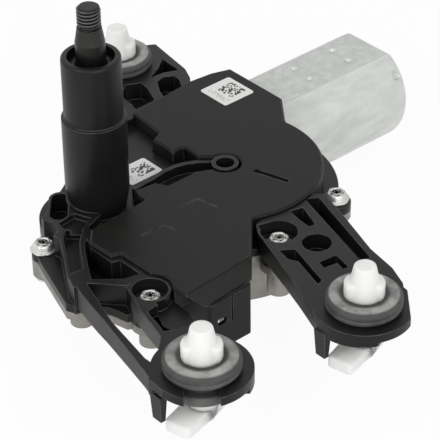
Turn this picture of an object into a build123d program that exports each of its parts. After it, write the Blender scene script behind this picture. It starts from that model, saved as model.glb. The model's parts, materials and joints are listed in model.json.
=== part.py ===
from build123d import *
import os
from math import acos, atan2, cos, degrees, hypot, pi, radians, sin, tan

# Rear window wiper motor: carrier frame with output tower, gear train, motor, electronics and mountings.
# Frame: the output shaft runs along +Z through the origin, z = 0 is the plane of the upper faces of the
# three rubber grommets, and +X points along the motor towards its closed end. Sizes are in millimetres.

# ---------------------------------------------------------------- driving dimensions: levels
cover_top_z = -3.5          # top of the electronics cover
deck_top_z = -5.0           # top of the carrier's arms and ribs
floor_top_z = -8.5          # carrier floor in the cover's cut-out
flange_top_z = -13.0        # parting face between cover and carrier flange
flange_thickness = 3.0
housing_floor_z = -38.0     # outside of the worm wheel well
well_floor = 3.0            # thickness of the cast floors
motor_z = -27.3             # motor and worm axis

# ---------------------------------------------------------------- driving dimensions: gear train
running_clearance = 0.05    # radial play of a shaft in its bush
seat_gap = 0.1              # play between pieces that are assembled together
worm_module = 1.25
wheel_teeth = 43
worm_pitch_radius = 4.6
sector_module = 1.5
sector_teeth = 40           # of a full circle; only part of it is toothed
pinion_teeth = 22
wheel_direction = -19.17    # degrees from +X to the worm wheel's axis, seen from above
wheel_face = 8.0
sector_face = 4.4
hub_radius = 9.0
sector_gap = 2.2            # hub between wheel and sector, so that the sector clears the worm
worm_turns = 4.5

# ---------------------------------------------------------------- driving dimensions: output tower
tower_radius = 10.9         # lower part of the output tower
tower_upper_radius = 10.0
tower_base_z = -0.5
tower_step_z = 27.15
tower_rim_z = 48.85
tower_neck_radius = 9.6
tower_foot_radius = 11.6
shaft_radius = 5.0
bush_wall = 1.6
bush_length = 14.0
thread_radius = 4.0         # M8 thread that carries the wiper arm
thread_length = 7.0
thread_chamfer = 0.9
thread_relief = 0.5         # groove between the cone and the thread
cone_length = 5.3
shaft_overhang = 6.85       # plain shaft between the tower's rim and the cone

# ---------------------------------------------------------------- driving dimensions: motor
can_radius = 20.7
can_flat = 17.8             # half distance over the flats
can_start_x = 87.6
can_length = 57.7
can_wall = 1.6
can_edge = 3.4
armature_shaft_radius = 3.0
core_radius = 14.4
magnet_gap = 1.0

# ---------------------------------------------------------------- driving dimensions: mountings
grommet_radius = 12.4
grommet_waist_radius = 8.9
grommet_flange = 4.8
grommet_groove = 3.0        # height between the two flanges
grommet_height = 11.8
grommet_step = 0.6          # the stud's collar sits this deep in the grommet
ring_wall = 2.4
ring_slot = 11.0            # open side of the ring
arm_height = 8.2
arm_slope = 0.055           # rise of the front arms' lower side over their length
leg_tip_z = -19.0
stud_radius = 4.3
stud_body_radius = 6.2
stud_tip_radius = 3.0
stud_root_radius = 4.4       # of the tip, at the collar
stud_top_z = 10.5
stud_shoulder_z = 4.8
stud_bar_z = -24.6
stud_bar = (25.0, 10.4, 6.2)
stud_bar_turn = 14.0        # degrees
left_mount = (-34.0, -92.9)
front_mount = (24.1, -103.7)
rear_mount = (60.1, 62.8)

# ---------------------------------------------------------------- driving dimensions: cover, housing, screws
cover_wall = 2.2
dome_radius = 34.0
flange_dome_radius = 39.3
eyelet_radius = 4.7
eyelet_bore = 3.3
wheel_pin_radius = 3.0
well_radius = 34.0
well_wall = 1.9
well_tower_radius = 20.4    # flange and pinion well round the output shaft
screw_radius = 2.0
screw_head_radius = 3.25
screw_head = 2.9
screw_length = 8.6
board_thickness = 1.6
label_side = 14.0
label_thickness = 0.2

# ---------------------------------------------------------------- worked out from the above
flange_bottom_z = flange_top_z - flange_thickness
cone_bottom_z = tower_rim_z + shaft_overhang
cone_top_z = cone_bottom_z + cone_length
thread_bottom_z = cone_top_z + thread_relief
thread_tip_z = thread_bottom_z + thread_length
motor_screw_offset = 0.85 * can_radius
can_end_x = can_start_x + can_length
wheel_radius = worm_module * wheel_teeth / 2
sector_radius = sector_module * sector_teeth / 2
pinion_radius = sector_module * pinion_teeth / 2
centre_distance = sector_radius + pinion_radius
wheel_x = centre_distance * cos(radians(wheel_direction))
wheel_y = centre_distance * sin(radians(wheel_direction))
motor_y = wheel_y + wheel_radius + worm_pitch_radius
motor_screw_places = [(motor_y + side * motor_screw_offset, motor_z - motor_screw_offset) for side in (-1, 1)]
worm_pitch = worm_module * pi
wheel_z = motor_z - wheel_face / 2
sector_z = wheel_z + wheel_face + sector_gap
worm_length = worm_turns * worm_pitch
seat_radius = grommet_radius + 1.2
ring_radius = seat_radius + ring_wall
bore_radius = shaft_radius + running_clearance
bush_radius = bore_radius + bush_wall
mounts = {"left": left_mount, "front": front_mount, "rear": rear_mount}
slot_turn = {"left": 229.0, "front": 257.0, "rear": 110.0}
thin_sides = {"left": (229.0, 7.0), "front": (287.0, 11.3), "rear": (110.0, 7.0)}
screw_places = {
    "arm": (31.4, -56.4, -10.2),
    "side": (65.8, -48.0, -12.3),
    "left": (-20.6, -52.1, -10.2),
    "tower": (-26.0, -2.9, -13.0),
}
arm_recess_corner = [(28.5, -49.0), (27.6, -51.4), (26.6, -54.2), (31.4, -56.4), (34.5, -51.0)]
recess_radii = {"arm": 6.3, "side": 5.2, "left": 5.9, "tower": 5.1}
carrier_lugs = {"arm": 6.5, "side": 5.1, "left": 6.8, "tower": 4.1}
boss_tips_z = {"arm": -29.0, "side": -29.0, "left": -26.0, "tower": -22.7}
bowl_start = (-16.7, 0.2)
bowl_end = (-10.4, 7.5)
bowl_radius = 3.0
bowl_wall = 0.9

# ---------------------------------------------------------------- plan outlines
cover_outline = [
    (87.0, 2.5), (87.0, 30.5), (79.5, 33.0), (70.3, 34.0), (41.2, 31.3), (-14.5, 0.0), (-14.5, -14.4),
    (-20.2, -20.6), (-19.6, -31.2), (-16.2, -32.4), (-15.2, -63.8), (14.0, -62.2), (29.1, -45.6), (77.6, -9.4),
]
cut_out_outline = [
    (41.2, 60.0), (41.2, 31.3), (39.5, 14.9), (34.9, 12.9), (35.2, 4.9), (34.7, 1.6), (37.8, 2.4), (39.9, 1.9),
    (39.8, -4.3), (39.6, -5.9), (43.8, -9.8), (41.0, -16.5), (35.6, -13.6), (32.5, -12.4), (20.6, -12.4),
    (18.3, -8.2), (9.9, -7.1), (8.3, -10.6), (8.4, -13.8), (-14.2, -15.1), (-40.0, -15.1), (-40.0, 60.0),
]
eyelet_rib = [(42.6, -10.6), (38.6, -7.2), (34.8, -5.2), (30.9, -4.0), (25.7, -3.8), (19.4, -4.6), (12.0, -5.2)]
flange_outline = [
    (87.0, 2.0), (87.0, 33.0), (70.3, 36.5), (41.0, 35.0), (20.0, 24.0), (0.0, 18.0), (-19.0, 6.0),
    (-24.5, 1.0), (-29.9, -4.5), (-31.8, -9.4), (-39.0, -31.6), (-37.8, -34.6), (-33.4, -37.0), (-29.8, -43.0),
    (-28.2, -49.5), (-20.0, -53.0), (-16.0, -45.2), (15.0, -45.2), (27.0, -49.5), (60.0, -50.0),
]
rear_arm_outline = [
    (36.0, 30.0), (65.2, 30.3), (70.0, 33.2), (73.2, 37.3), (75.9, 43.2), (79.3, 64.4), (76.7, 66.0),
    (60.0, 62.8), (43.8, 62.8), (36.0, 40.0),
]
right_arm_outline = [
    (28.5, -48.2), (25.6, -52.4), (18.2, -73.5), (13.8, -85.3), (8.2, -99.1), (8.2, -103.7), (37.5, -108.4),
    (41.3, -104.0), (44.6, -95.9), (46.8, -83.7), (53.0, -65.5), (57.6, -50.6), (52.0, -45.5), (38.0, -46.5),
]
left_outer_bar = [(-36.4, -31.6), (-42.1, -55.0), (-48.6, -72.0), (-50.2, -92.9), (-44.0, -92.9), (-44.2, -78.0),
                  (-40.3, -57.3), (-33.4, -35.4)]
left_inner_bar = [(-25.1, -45.1), (-29.8, -59.0), (-33.6, -73.0), (-40.0, -79.0), (-24.0, -79.6),
                  (-26.5, -65.3), (-20.5, -52.0)]
left_deck_outline = [
    (-14.0, -12.0), (-14.0, -47.0), (-25.0, -45.6), (-33.2, -36.3), (-38.0, -35.0), (-36.2, -29.6),
    (-24.9, -10.9), (-25.4, -8.0), (-22.0, 2.8), (-12.0, 6.0), (-6.0, -9.0),
]
right_arm_pockets = [
    [(42.0, -50.2), (46.8, -51.4), (43.0, -61.5), (40.6, -61.0), (40.9, -56.3)],
    [(24.2, -64.1), (28.5, -67.2), (23.3, -85.4), (20.9, -86.1), (24.6, -73.0), (23.0, -69.7)],
    [(29.3, -77.7), (36.1, -78.6), (34.6, -86.2), (32.4, -85.6), (33.3, -82.0), (28.3, -81.1)],
    [(50.6, -48.3), (54.6, -50.9), (43.3, -87.2), (39.7, -85.8)],
]
rear_arm_pockets = [
    [(74.3, 54.4), (73.6, 44.2), (68.0, 46.6), (61.9, 47.0), (68.9, 50.4)],
    [(62.4, 43.2), (66.4, 44.4), (69.7, 42.2), (69.4, 38.8), (66.2, 33.8), (60.6, 32.2), (57.0, 32.6), (59.0, 37.7)],
    [(52.6, 49.4), (57.6, 46.6), (57.1, 43.0), (53.7, 34.1), (44.5, 33.8), (46.6, 44.8)],
]
rear_arm_hole = [(48.0, 42.0), (51.8, 44.2), (53.6, 48.0), (51.6, 48.4), (47.6, 44.6)]
deck_pockets = [
    (-7.0, [(-20.4, -7.6), (-17.2, -12.4), (-10.0, -8.6), (-12.5, -2.6), (-19.6, -3.6)]),
    (-8.6, [(-16.2, -12.3), (-20.6, -8.2), (-24.2, -12.0), (-34.2, -28.4), (-29.4, -29.2), (-23.8, -20.2),
            (-20.8, -16.2)]),
    (flange_bottom_z + 1.6, [(-18.4, -17.2), (-19.8, -17.8), (-22.4, -21.2), (-27.4, -28.9), (-31.2, -35.4),
                             (-23.2, -42.2), (-17.7, -43.6), (-17.7, -33.8), (-20.6, -32.6), (-20.6, -21.4)]),
]


def involute_gear(module, teeth, backlash, tip_factor=1.0, root_factor=1.25, pressure=20.0, flank_steps=2):
    """Outline points of an involute gear, tooth 0 centred on +X, with each tooth thinned by the backlash."""
    pitch_r = module * teeth / 2
    base_r = pitch_r * cos(radians(pressure))
    tip_r = pitch_r + tip_factor * module
    root_r = pitch_r - root_factor * module
    involute_at_pitch = tan(radians(pressure)) - radians(pressure)
    half_at_pitch = (pi * module / 2 - backlash) / (2 * pitch_r)

    def half_angle(radius):
        pressure_here = acos(min(1.0, base_r / radius))
        return half_at_pitch + involute_at_pitch - (tan(pressure_here) - pressure_here)

    flank_start = max(base_r, root_r)
    radii = [flank_start + (tip_r - flank_start) * i / flank_steps for i in range(flank_steps + 1)]
    points = []
    for tooth in range(teeth):
        middle = 2 * pi * tooth / teeth
        foot = [(root_r, half_angle(flank_start))] if flank_start > root_r + 0.05 else []
        flank = foot + [(r, half_angle(r)) for r in radii]
        polar = [(r, -a) for r, a in flank] + flank[::-1]
        points += [(r * cos(middle + a), r * sin(middle + a)) for r, a in polar]
    return points


def turned(points, angle, centre=(0.0, 0.0)):
    """The points turned about the origin by an angle in degrees and moved to a centre."""
    c = cos(radians(angle))
    s = sin(radians(angle))
    return [(centre[0] + x * c - y * s, centre[1] + x * s + y * c) for x, y in points]


def between(start, end):
    """Location in the middle of two points, turned towards the second, and the points' distance."""
    middle = ((start[0] + end[0]) / 2, (start[1] + end[1]) / 2, 0)
    turn = degrees(atan2(end[1] - start[1], end[0] - start[0]))
    return Location(middle, (0, 0, turn)), hypot(end[0] - start[0], end[1] - start[1])


def bar(start, end, width):
    """A straight bar between two points, in the open sketch."""
    place, length = between(start, end)
    with Locations(place):
        Rectangle(length + width, width)


def slot(start, end, width):
    """A bar between two points with round ends, in the open sketch."""
    place, length = between(start, end)
    with Locations(place):
        SlotCenterToCenter(length, width)


def save(piece, name):
    """Labels a finished piece and writes its STEP file."""
    piece.label = name
    export_step(piece, f"parts/{name}.step")


os.makedirs("parts", exist_ok=True)


# ================================================================ carrier frame
arm_bottom_z = deck_top_z - arm_height
arm_root_y = -50.0
arm_front_y = -125.0
arm_rise = (arm_root_y - arm_front_y) * arm_slope
web_bottom_z = -grommet_flange - grommet_groove + seat_gap
bush_seat_radius = bush_radius + 0.05
rim_recess = 4.0
rim_recess_radius = bush_radius + 1.35
boss_bottom_z = sector_z + sector_face + 0.3
pocket_floor = 1.4          # plastic left under the pockets
above_all = 40.0            # height of cuts that are open upwards


def parting_flange(lug_radii):
    """Outline of the parting face between carrier and housing, in the open sketch."""
    Polygon(*flange_outline, align=None)
    with Locations((wheel_x, wheel_y)):
        Circle(flange_dome_radius)
    Circle(well_tower_radius)
    for name, radius in lug_radii.items():
        with Locations(screw_places[name][:2]):
            Circle(radius)


def cover_shape():
    """Plan outline of the cover, in the open sketch."""
    Polygon(*cover_outline, align=None)
    with Locations((wheel_x, wheel_y)):
        Circle(dome_radius)
    Polygon(*cut_out_outline, align=None, mode=Mode.SUBTRACT)
    with Locations(screw_places["left"][:2]):
        Circle(recess_radii["left"] + 1.3, mode=Mode.SUBTRACT)


def under_arms(gap):
    """Block under the sloping lower side of the two front arms, moved up by a gap."""
    with BuildPart() as block:
        with BuildSketch(Plane.YZ.offset(-80.0)):
            Polygon((arm_root_y, arm_bottom_z + gap), (arm_front_y, arm_bottom_z + gap + arm_rise),
                    (arm_front_y, -60.0), (arm_root_y, -60.0), align=None)
        extrude(amount=160.0)
    return block.part


with BuildPart() as arms:
    with BuildSketch(Plane.XY.offset(arm_bottom_z)):
        for outline in (right_arm_outline, left_outer_bar, left_inner_bar, rear_arm_outline):
            Polygon(*outline, align=None)
        with Locations(*mounts.values()):
            Circle(ring_radius)
    extrude(amount=arm_height)
    add(under_arms(0.0), mode=Mode.SUBTRACT)
    # the rings are thin plates at their open sides
    for side, (turn, start) in thin_sides.items():
        x, y = mounts[side]
        with BuildSketch(Plane.XY.offset(arm_bottom_z)):
            with Locations(Location((x, y, 0), (0, 0, turn))):
                with Locations((start, 0)):
                    Rectangle(20.0, 40.0, align=(Align.MIN, Align.CENTER))
        extrude(amount=web_bottom_z - 0.4 - arm_bottom_z, mode=Mode.SUBTRACT)
    with BuildSketch(Plane.XY.offset(arm_bottom_z)):
        with Locations(Location((front_mount[0], front_mount[1], 0), (0, 0, -41.0))):
            with Locations((seat_radius + 0.7, 0)):
                Rectangle(10.0, 30.0, align=(Align.MIN, Align.CENTER))
    extrude(amount=arm_height, mode=Mode.SUBTRACT)

with BuildPart() as arm_pockets:
    with BuildSketch(Plane.XY.offset(arm_bottom_z + pocket_floor)):
        for outline in right_arm_pockets + rear_arm_pockets:
            Polygon(*outline, align=None)
        with Locations((36.2, -69.4)):
            Circle(5.0)
    extrude(amount=arm_height)
    add(under_arms(pocket_floor), mode=Mode.SUBTRACT)

with BuildPart() as carrier_frame:
    # flange over the gear housing, open under the electronics and the gears
    with BuildSketch(Plane.XY.offset(flange_bottom_z)):
        parting_flange(carrier_lugs)
    extrude(amount=flange_thickness)
    # deck beside the tower and walls round the screws
    with BuildSketch(Plane.XY.offset(flange_bottom_z)):
        Polygon(*left_deck_outline, align=None)
        with Locations(screw_places["left"][:2]):
            Circle(recess_radii["left"] + 0.95)
        slot(bowl_start, bowl_end, 2 * (bowl_radius + bowl_wall))
    extrude(amount=deck_top_z - flange_bottom_z)
    with BuildSketch(Plane.XY.offset(flange_bottom_z)):
        Circle(tower_radius + 2.6)
    extrude(amount=floor_top_z - 1.0 - flange_bottom_z)
    add(arms.part)
    # room for the cover
    with BuildSketch(Plane.XY.offset(flange_top_z)):
        cover_shape()
        offset(amount=0.35)
    extrude(amount=above_all, mode=Mode.SUBTRACT)
    # raised floor in the cover's cut-out, with the eyelet and its curved rib
    with BuildSketch(Plane.XY.offset(flange_bottom_z)):
        Polygon(*cut_out_outline, align=None)
        offset(amount=-0.4)
        Polygon(*flange_outline, align=None, mode=Mode.INTERSECT)
        with Locations((-12.0, 0)):
            Rectangle(120.0, 120.0, align=(Align.MIN, Align.CENTER), mode=Mode.INTERSECT)
    extrude(amount=floor_top_z - flange_bottom_z)
    with BuildSketch(Plane.XY.offset(flange_bottom_z)):
        with Locations((wheel_x, wheel_y)):
            Circle(eyelet_radius)
    extrude(amount=cover_top_z - flange_bottom_z)
    with BuildSketch(Plane.XY.offset(floor_top_z - 0.5)):
        for start, end in zip(eyelet_rib, eyelet_rib[1:]):
            bar(start, end, 1.5)
        with Locations((wheel_x, wheel_y)):
            Circle(eyelet_radius - 0.5, mode=Mode.SUBTRACT)
    extrude(amount=deck_top_z + 0.4 - floor_top_z + 0.5)
    # pockets of the arms and the deck
    add(arm_pockets.part, mode=Mode.SUBTRACT)
    for floor_z, outline in deck_pockets:
        with BuildSketch(Plane.XY.offset(floor_z)):
            Polygon(*outline, align=None)
        extrude(amount=above_all, mode=Mode.SUBTRACT)
    with BuildSketch(Plane.XY.offset(flange_top_z + 0.5)):
        slot(bowl_start, bowl_end, 2 * bowl_radius)
        Circle(tower_radius, mode=Mode.SUBTRACT)
    extrude(amount=above_all, mode=Mode.SUBTRACT)
    with BuildSketch(Plane.XY.offset(arm_bottom_z - 1.0)):
        Polygon(*rear_arm_hole, align=None)
    extrude(amount=above_all, mode=Mode.SUBTRACT)
    # recesses and pads of the screws
    with BuildSketch(Plane.XY.offset(screw_places["arm"][2])):
        Polygon(*arm_recess_corner, align=None)
    extrude(amount=above_all, mode=Mode.SUBTRACT)
    for name, (x, y, seat_z) in screw_places.items():
        with BuildSketch(Plane.XY.offset(seat_z)):
            with Locations((x, y)):
                Circle(recess_radii[name])
        extrude(amount=above_all, mode=Mode.SUBTRACT)
        with BuildSketch(Plane.XY.offset(flange_bottom_z)):
            with Locations((x, y)):
                Circle(min(recess_radii[name] - 0.6, carrier_lugs[name]))
        extrude(amount=seat_z - flange_bottom_z)
    # seats of the grommets
    for side, (x, y) in mounts.items():
        with BuildSketch(Plane.XY.offset(-above_all)):
            with Locations((x, y)):
                Circle(seat_radius)
        extrude(amount=above_all + web_bottom_z, mode=Mode.SUBTRACT)
        with BuildSketch(Plane.XY.offset(arm_bottom_z)):
            with Locations(Location((x, y, 0), (0, 0, slot_turn[side]))):
                Circle(grommet_waist_radius + seat_gap)
                if side != "front":
                    Rectangle(40.0, ring_slot, align=(Align.MIN, Align.CENTER))
        extrude(amount=arm_height, mode=Mode.SUBTRACT)
    # output tower
    with BuildSketch(Plane.XZ):
        with BuildLine():
            Polyline(
                (0, boss_bottom_z), (tower_foot_radius, boss_bottom_z), (tower_foot_radius, flange_top_z),
                (tower_neck_radius, floor_top_z), (tower_radius, tower_base_z), (tower_radius, tower_step_z),
                (tower_upper_radius, tower_step_z + 0.3), (tower_upper_radius, tower_rim_z), (0, tower_rim_z),
                close=True,
            )
        make_face()
    revolve(axis=Axis.Z)
    fillet(carrier_frame.edges().filter_by(GeomType.CIRCLE).sort_by(Axis.Z)[-1], 1.0)
    with BuildSketch(Plane.XY.offset(boss_bottom_z)):
        Circle(bore_radius + 1.0)
    extrude(amount=80.0, mode=Mode.SUBTRACT)
    with BuildSketch(Plane.XY.offset(boss_bottom_z)):
        Circle(bush_seat_radius)
    extrude(amount=bush_length, mode=Mode.SUBTRACT)
    with BuildSketch(Plane.XY.offset(tower_rim_z - rim_recess - bush_length)):
        Circle(bush_seat_radius)
    extrude(amount=bush_length + 5.0, mode=Mode.SUBTRACT)
    with BuildSketch(Plane.XY.offset(tower_rim_z - rim_recess)):
        Circle(rim_recess_radius)
    extrude(amount=rim_recess + 1.0, mode=Mode.SUBTRACT)
    # windows under the cover, bore for the wheel pin, screw holes
    with BuildSketch(Plane.XY.offset(flange_bottom_z - 0.5)):
        with Locations((wheel_x, wheel_y)):
            Circle(dome_radius - 5.0)
        Polygon(*cut_out_outline, align=None, mode=Mode.SUBTRACT)
        Polygon((-12.5, -20.5), (12.0, -20.5), (18.0, -43.5), (-12.5, -43.5), align=None)
        with Locations((wheel_x, wheel_y)):
            Circle(eyelet_radius + 1.5, mode=Mode.SUBTRACT)
    extrude(amount=flange_thickness + 1.0, mode=Mode.SUBTRACT)
    with BuildSketch(Plane.XY.offset(flange_bottom_z - 0.5)):
        with Locations((wheel_x, wheel_y)):
            Circle(eyelet_bore)
    extrude(amount=above_all, mode=Mode.SUBTRACT)
    with BuildSketch(Plane.XY.offset(flange_bottom_z - 0.5)):
        with Locations(*[place[:2] for place in screw_places.values()]):
            Circle(screw_radius + 0.3)
    extrude(amount=20.0, mode=Mode.SUBTRACT)
    # legs at the outer arms
    for side in ("left", "front"):
        x, y = mounts[side]
        with BuildSketch(Plane.XY.offset(arm_bottom_z + 4.0)):
            with Locations((x - ring_radius + 1.0, y + 3.0)):
                Rectangle(2.8, 5.0)
        extrude(amount=leg_tip_z - arm_bottom_z - 4.0, taper=3.0)
save(carrier_frame.part, "carrier_frame")


# ================================================================ electronics cover with connector shroud
locating_marks = [
    ((14.5, -25.3), (22.5, -25.5), (24.0, -33.2)),
    ((-4.7, -29.3), (4.5, -29.9), (5.1, -34.3)),
]
shroud_size = (18.6, 18.0)
shroud_centre = (3.75, -54.4)
shroud_bottom_z = -33.4
shroud_wall = 1.7
shroud_ceiling_z = -17.5
terminal_pitch = 4.0
terminal_places = [(shroud_centre[0] + (i - 1.5) * terminal_pitch, y) for y in (-56.6, -51.6) for i in range(4)]
with BuildPart() as top_cover:
    with BuildSketch(Plane.XY.offset(flange_top_z)) as cover_plan:
        cover_shape()
        with Locations((wheel_x, wheel_y)):
            Circle(eyelet_radius + 0.9, mode=Mode.SUBTRACT)
    extrude(amount=cover_top_z - flange_top_z)
    chamfer(top_cover.faces().sort_by(Axis.Z)[-1].edges(), 0.7)
    # the room inside
    with BuildSketch(Plane.XY.offset(flange_top_z)):
        add(cover_plan.sketch)
        offset(amount=-cover_wall)
    extrude(amount=cover_top_z - flange_top_z - cover_wall, mode=Mode.SUBTRACT)
    # solid corner beside the connector, cut back on a slant
    with BuildSketch(Plane.XY.offset(flange_top_z)):
        Polygon((-14.6, -63.0), (-15.0, -57.2), (-3.4, -57.2), (-3.4, -62.4), align=None)
    extrude(amount=cover_top_z - flange_top_z - 1.0)
    with BuildSketch(Plane.XZ.offset(70.0)):
        Polygon((-16.0, -4.6), (-14.8, -4.6), (shroud_centre[0] - shroud_size[0] / 2, -14.5), (-16.0, -14.5),
                align=None)
    extrude(amount=-12.0, mode=Mode.SUBTRACT)
    # connector shroud under the front edge
    with BuildSketch(Plane.XY.offset(shroud_bottom_z)):
        with Locations(shroud_centre):
            RectangleRounded(*shroud_size, 1.2)
    extrude(amount=flange_top_z - shroud_bottom_z)
    with BuildSketch(Plane.XY.offset(shroud_bottom_z)):
        with Locations(shroud_centre):
            RectangleRounded(shroud_size[0] - 2 * shroud_wall, shroud_size[1] - 2 * shroud_wall, 1.0)
    extrude(amount=shroud_ceiling_z - shroud_bottom_z, mode=Mode.SUBTRACT)
    with BuildSketch(Plane.XY.offset(shroud_ceiling_z)):
        with Locations(*terminal_places):
            Rectangle(3.0, 1.2)
    extrude(amount=flange_top_z - shroud_ceiling_z, mode=Mode.SUBTRACT)
    # latch slot and guide groove on the shroud's front
    front_y = shroud_centre[1] - shroud_size[1] / 2
    with Locations((shroud_centre[0] - 3.6, front_y, shroud_bottom_z + 11.2)):
        Box(4.0, 6.0, 2.8, mode=Mode.SUBTRACT)
    with Locations((shroud_centre[0] + 0.6, front_y, shroud_bottom_z + 14.6)):
        Box(0.7, 1.6, 10.6, mode=Mode.SUBTRACT)
    with Locations((shroud_centre[0] - 0.2, front_y, flange_top_z - 0.1)):
        Box(shroud_size[0] + 1.6, 1.8, 1.3, mode=Mode.SUBTRACT)
    # slot on the dome and locating marks
    with BuildSketch(Plane.XY.offset(cover_top_z)):
        bar((48.4, -26.4), (51.9, -37.4), 2.0)
    extrude(amount=-1.4, mode=Mode.SUBTRACT)
    with BuildSketch(Plane.XY.offset(cover_top_z)):
        for end, corner, other_end in locating_marks:
            bar(end, corner, 0.6)
            bar(corner, other_end, 0.6)
    extrude(amount=-0.4, mode=Mode.SUBTRACT)
save(top_cover.part, "top_cover")


# ================================================================ cast gear housing
well_inner = well_radius - well_wall
tub_bottom_z = -31.0
pinion_well_z = -27.5
tunnel_radius = 7.7
tunnel_wall = 3.2
motor_flange = 3.6
motor_flange_x = can_start_x - motor_flange
tunnel_start_x = 21.0
lobe_place = (-32.2, -30.8)
lobe_bottom_z = -24.0
lobe_radius = 4.0
boss_radius = 4.1           # under the carrier's screws
motor_lug_radius = 5.0
pin_boss_radius = 7.0


def motor_section(radius, flat):
    """Sketch of the motor's cross-section: a circle with two flats, in the open sketch."""
    with Locations((motor_y, motor_z)):
        Circle(radius)
        Rectangle(2 * radius + 1, 2 * flat, mode=Mode.INTERSECT)


with BuildPart() as gear_housing:
    # flange and walls
    with BuildSketch(Plane.XY.offset(flange_bottom_z - flange_thickness)):
        parting_flange(carrier_lugs)
    extrude(amount=flange_thickness)
    with BuildSketch(Plane.XY.offset(housing_floor_z)):
        with Locations((wheel_x, wheel_y)):
            Circle(well_radius)
    extrude(amount=flange_bottom_z - housing_floor_z)
    with BuildSketch(Plane.XY.offset(pinion_well_z)):
        Circle(well_tower_radius)
    extrude(amount=flange_bottom_z - pinion_well_z)
    with BuildSketch(Plane.XY.offset(tub_bottom_z)):
        Polygon((-15.0, -14.0), (20.0, -14.0), (30.0, -43.5), (15.0, -45.2), (-15.0, -45.2), align=None)
    extrude(amount=flange_bottom_z - tub_bottom_z)
    # worm tunnel and motor flange
    with BuildSketch(Plane.YZ.offset(tunnel_start_x)):
        with Locations((motor_y, motor_z)):
            Circle(tunnel_radius + tunnel_wall)
        with Locations((motor_y, (motor_z + flange_bottom_z) / 2)):
            Rectangle(2 * tunnel_radius + 4.0, flange_bottom_z - motor_z)
    extrude(amount=motor_flange_x - tunnel_start_x)
    with BuildSketch(Plane.YZ.offset(motor_flange_x)):
        motor_section(can_radius + 2.4, can_flat + 2.4)
        with Locations(*motor_screw_places):
            Circle(motor_lug_radius)
    extrude(amount=motor_flange)
    with BuildSketch(Plane.XY.offset(flange_bottom_z)):
        with Locations((can_start_x - 10.0, motor_y)):
            Rectangle(20.1, 60.0)
    extrude(amount=20.0, mode=Mode.SUBTRACT)
    # bosses under the screws
    for name, tip_z in boss_tips_z.items():
        with BuildSketch(Plane.XY.offset(tip_z)):
            with Locations(screw_places[name][:2]):
                Circle(boss_radius)
        extrude(amount=flange_bottom_z - tip_z)
    with BuildSketch(Plane.XY.offset(lobe_bottom_z)):
        with Locations(lobe_place):
            Circle(lobe_radius)
    extrude(amount=flange_bottom_z - flange_thickness - lobe_bottom_z)
    # rooms for the wheel, the pinion, the electronics and the worm
    with BuildSketch(Plane.XY.offset(housing_floor_z + well_floor)):
        with Locations((wheel_x, wheel_y)):
            Circle(well_inner)
    extrude(amount=above_all, mode=Mode.SUBTRACT)
    with BuildSketch(Plane.XY.offset(pinion_well_z + well_floor)):
        Circle(pinion_radius + sector_module + 0.5)
    extrude(amount=above_all, mode=Mode.SUBTRACT)
    with BuildSketch(Plane.XY.offset(tub_bottom_z + well_floor)):
        Polygon((-12.2, -23.5), (8.0, -23.5), (14.0, -42.5), (-12.2, -42.5), align=None)
    extrude(amount=above_all, mode=Mode.SUBTRACT)
    with BuildSketch(Plane.YZ.offset(tunnel_start_x + 3.0)):
        with Locations((motor_y, motor_z)):
            Circle(tunnel_radius)
    extrude(amount=can_start_x - tunnel_start_x, mode=Mode.SUBTRACT)
    # pin boss on the floor, and the tapped holes
    with BuildSketch(Plane.XY.offset(housing_floor_z)):
        with Locations((wheel_x, wheel_y)):
            Circle(pin_boss_radius)
    extrude(amount=wheel_z - housing_floor_z - 0.3)
    with BuildSketch(Plane.XY.offset(housing_floor_z + 1.0)):
        with Locations((wheel_x, wheel_y)):
            Circle(wheel_pin_radius + 0.05)
    extrude(amount=20.0, mode=Mode.SUBTRACT)
    for x, y, seat_z in screw_places.values():
        with BuildSketch(Plane.XY.offset(seat_z - screw_length - 0.3)):
            with Locations((x, y)):
                Circle(screw_radius + 0.05)
        extrude(amount=above_all, mode=Mode.SUBTRACT)
    with BuildSketch(Plane.YZ.offset(can_start_x)):
        with Locations(*motor_screw_places):
            Circle(screw_radius + 0.05)
    extrude(amount=-motor_flange - 2.0, mode=Mode.SUBTRACT)
save(gear_housing.part, "gear_housing")


# ================================================================ motor
end_cup_radius = 8.6        # cup in the can's end that holds the end bush
end_cup_height = 2.4
with BuildPart() as motor_can:
    with BuildSketch(Plane.YZ.offset(can_start_x)):
        motor_section(can_radius, can_flat)
    extrude(amount=can_end_x - can_start_x)
    fillet(motor_can.faces().sort_by(Axis.X)[-1].edges(), can_edge)
    with BuildSketch(Plane.YZ.offset(can_end_x - can_wall)):
        with Locations((motor_y, motor_z)):
            Circle(end_cup_radius)
    extrude(amount=can_wall + end_cup_height)
    with BuildSketch(Plane.YZ.offset(can_start_x)):
        with Locations(*motor_screw_places):
            Circle(motor_lug_radius)
    extrude(amount=can_wall)
    with BuildSketch(Plane.YZ.offset(can_start_x)):
        motor_section(can_radius - can_wall, can_flat - can_wall)
    extrude(amount=can_end_x - can_wall - can_start_x, mode=Mode.SUBTRACT)
    with BuildSketch(Plane.YZ.offset(can_start_x)):
        with Locations((motor_y, motor_z)):
            Circle(end_cup_radius - can_wall)
    extrude(amount=can_length + end_cup_height - can_wall, mode=Mode.SUBTRACT)
    with BuildSketch(Plane.YZ.offset(can_start_x)):
        with Locations(*motor_screw_places):
            Circle(screw_radius + 0.3)
    extrude(amount=can_wall, mode=Mode.SUBTRACT)
    # staking dimples over the magnets
    with BuildSketch(Plane.XY.offset(motor_z + can_flat)):
        with Locations(((can_start_x + can_end_x) / 2 + 4.0, motor_y)):
            with GridLocations(20.0, 9.2, 2, 2):
                Circle(1.0)
    extrude(amount=-0.5, mode=Mode.SUBTRACT)
save(motor_can.part, "motor_can")

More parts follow.
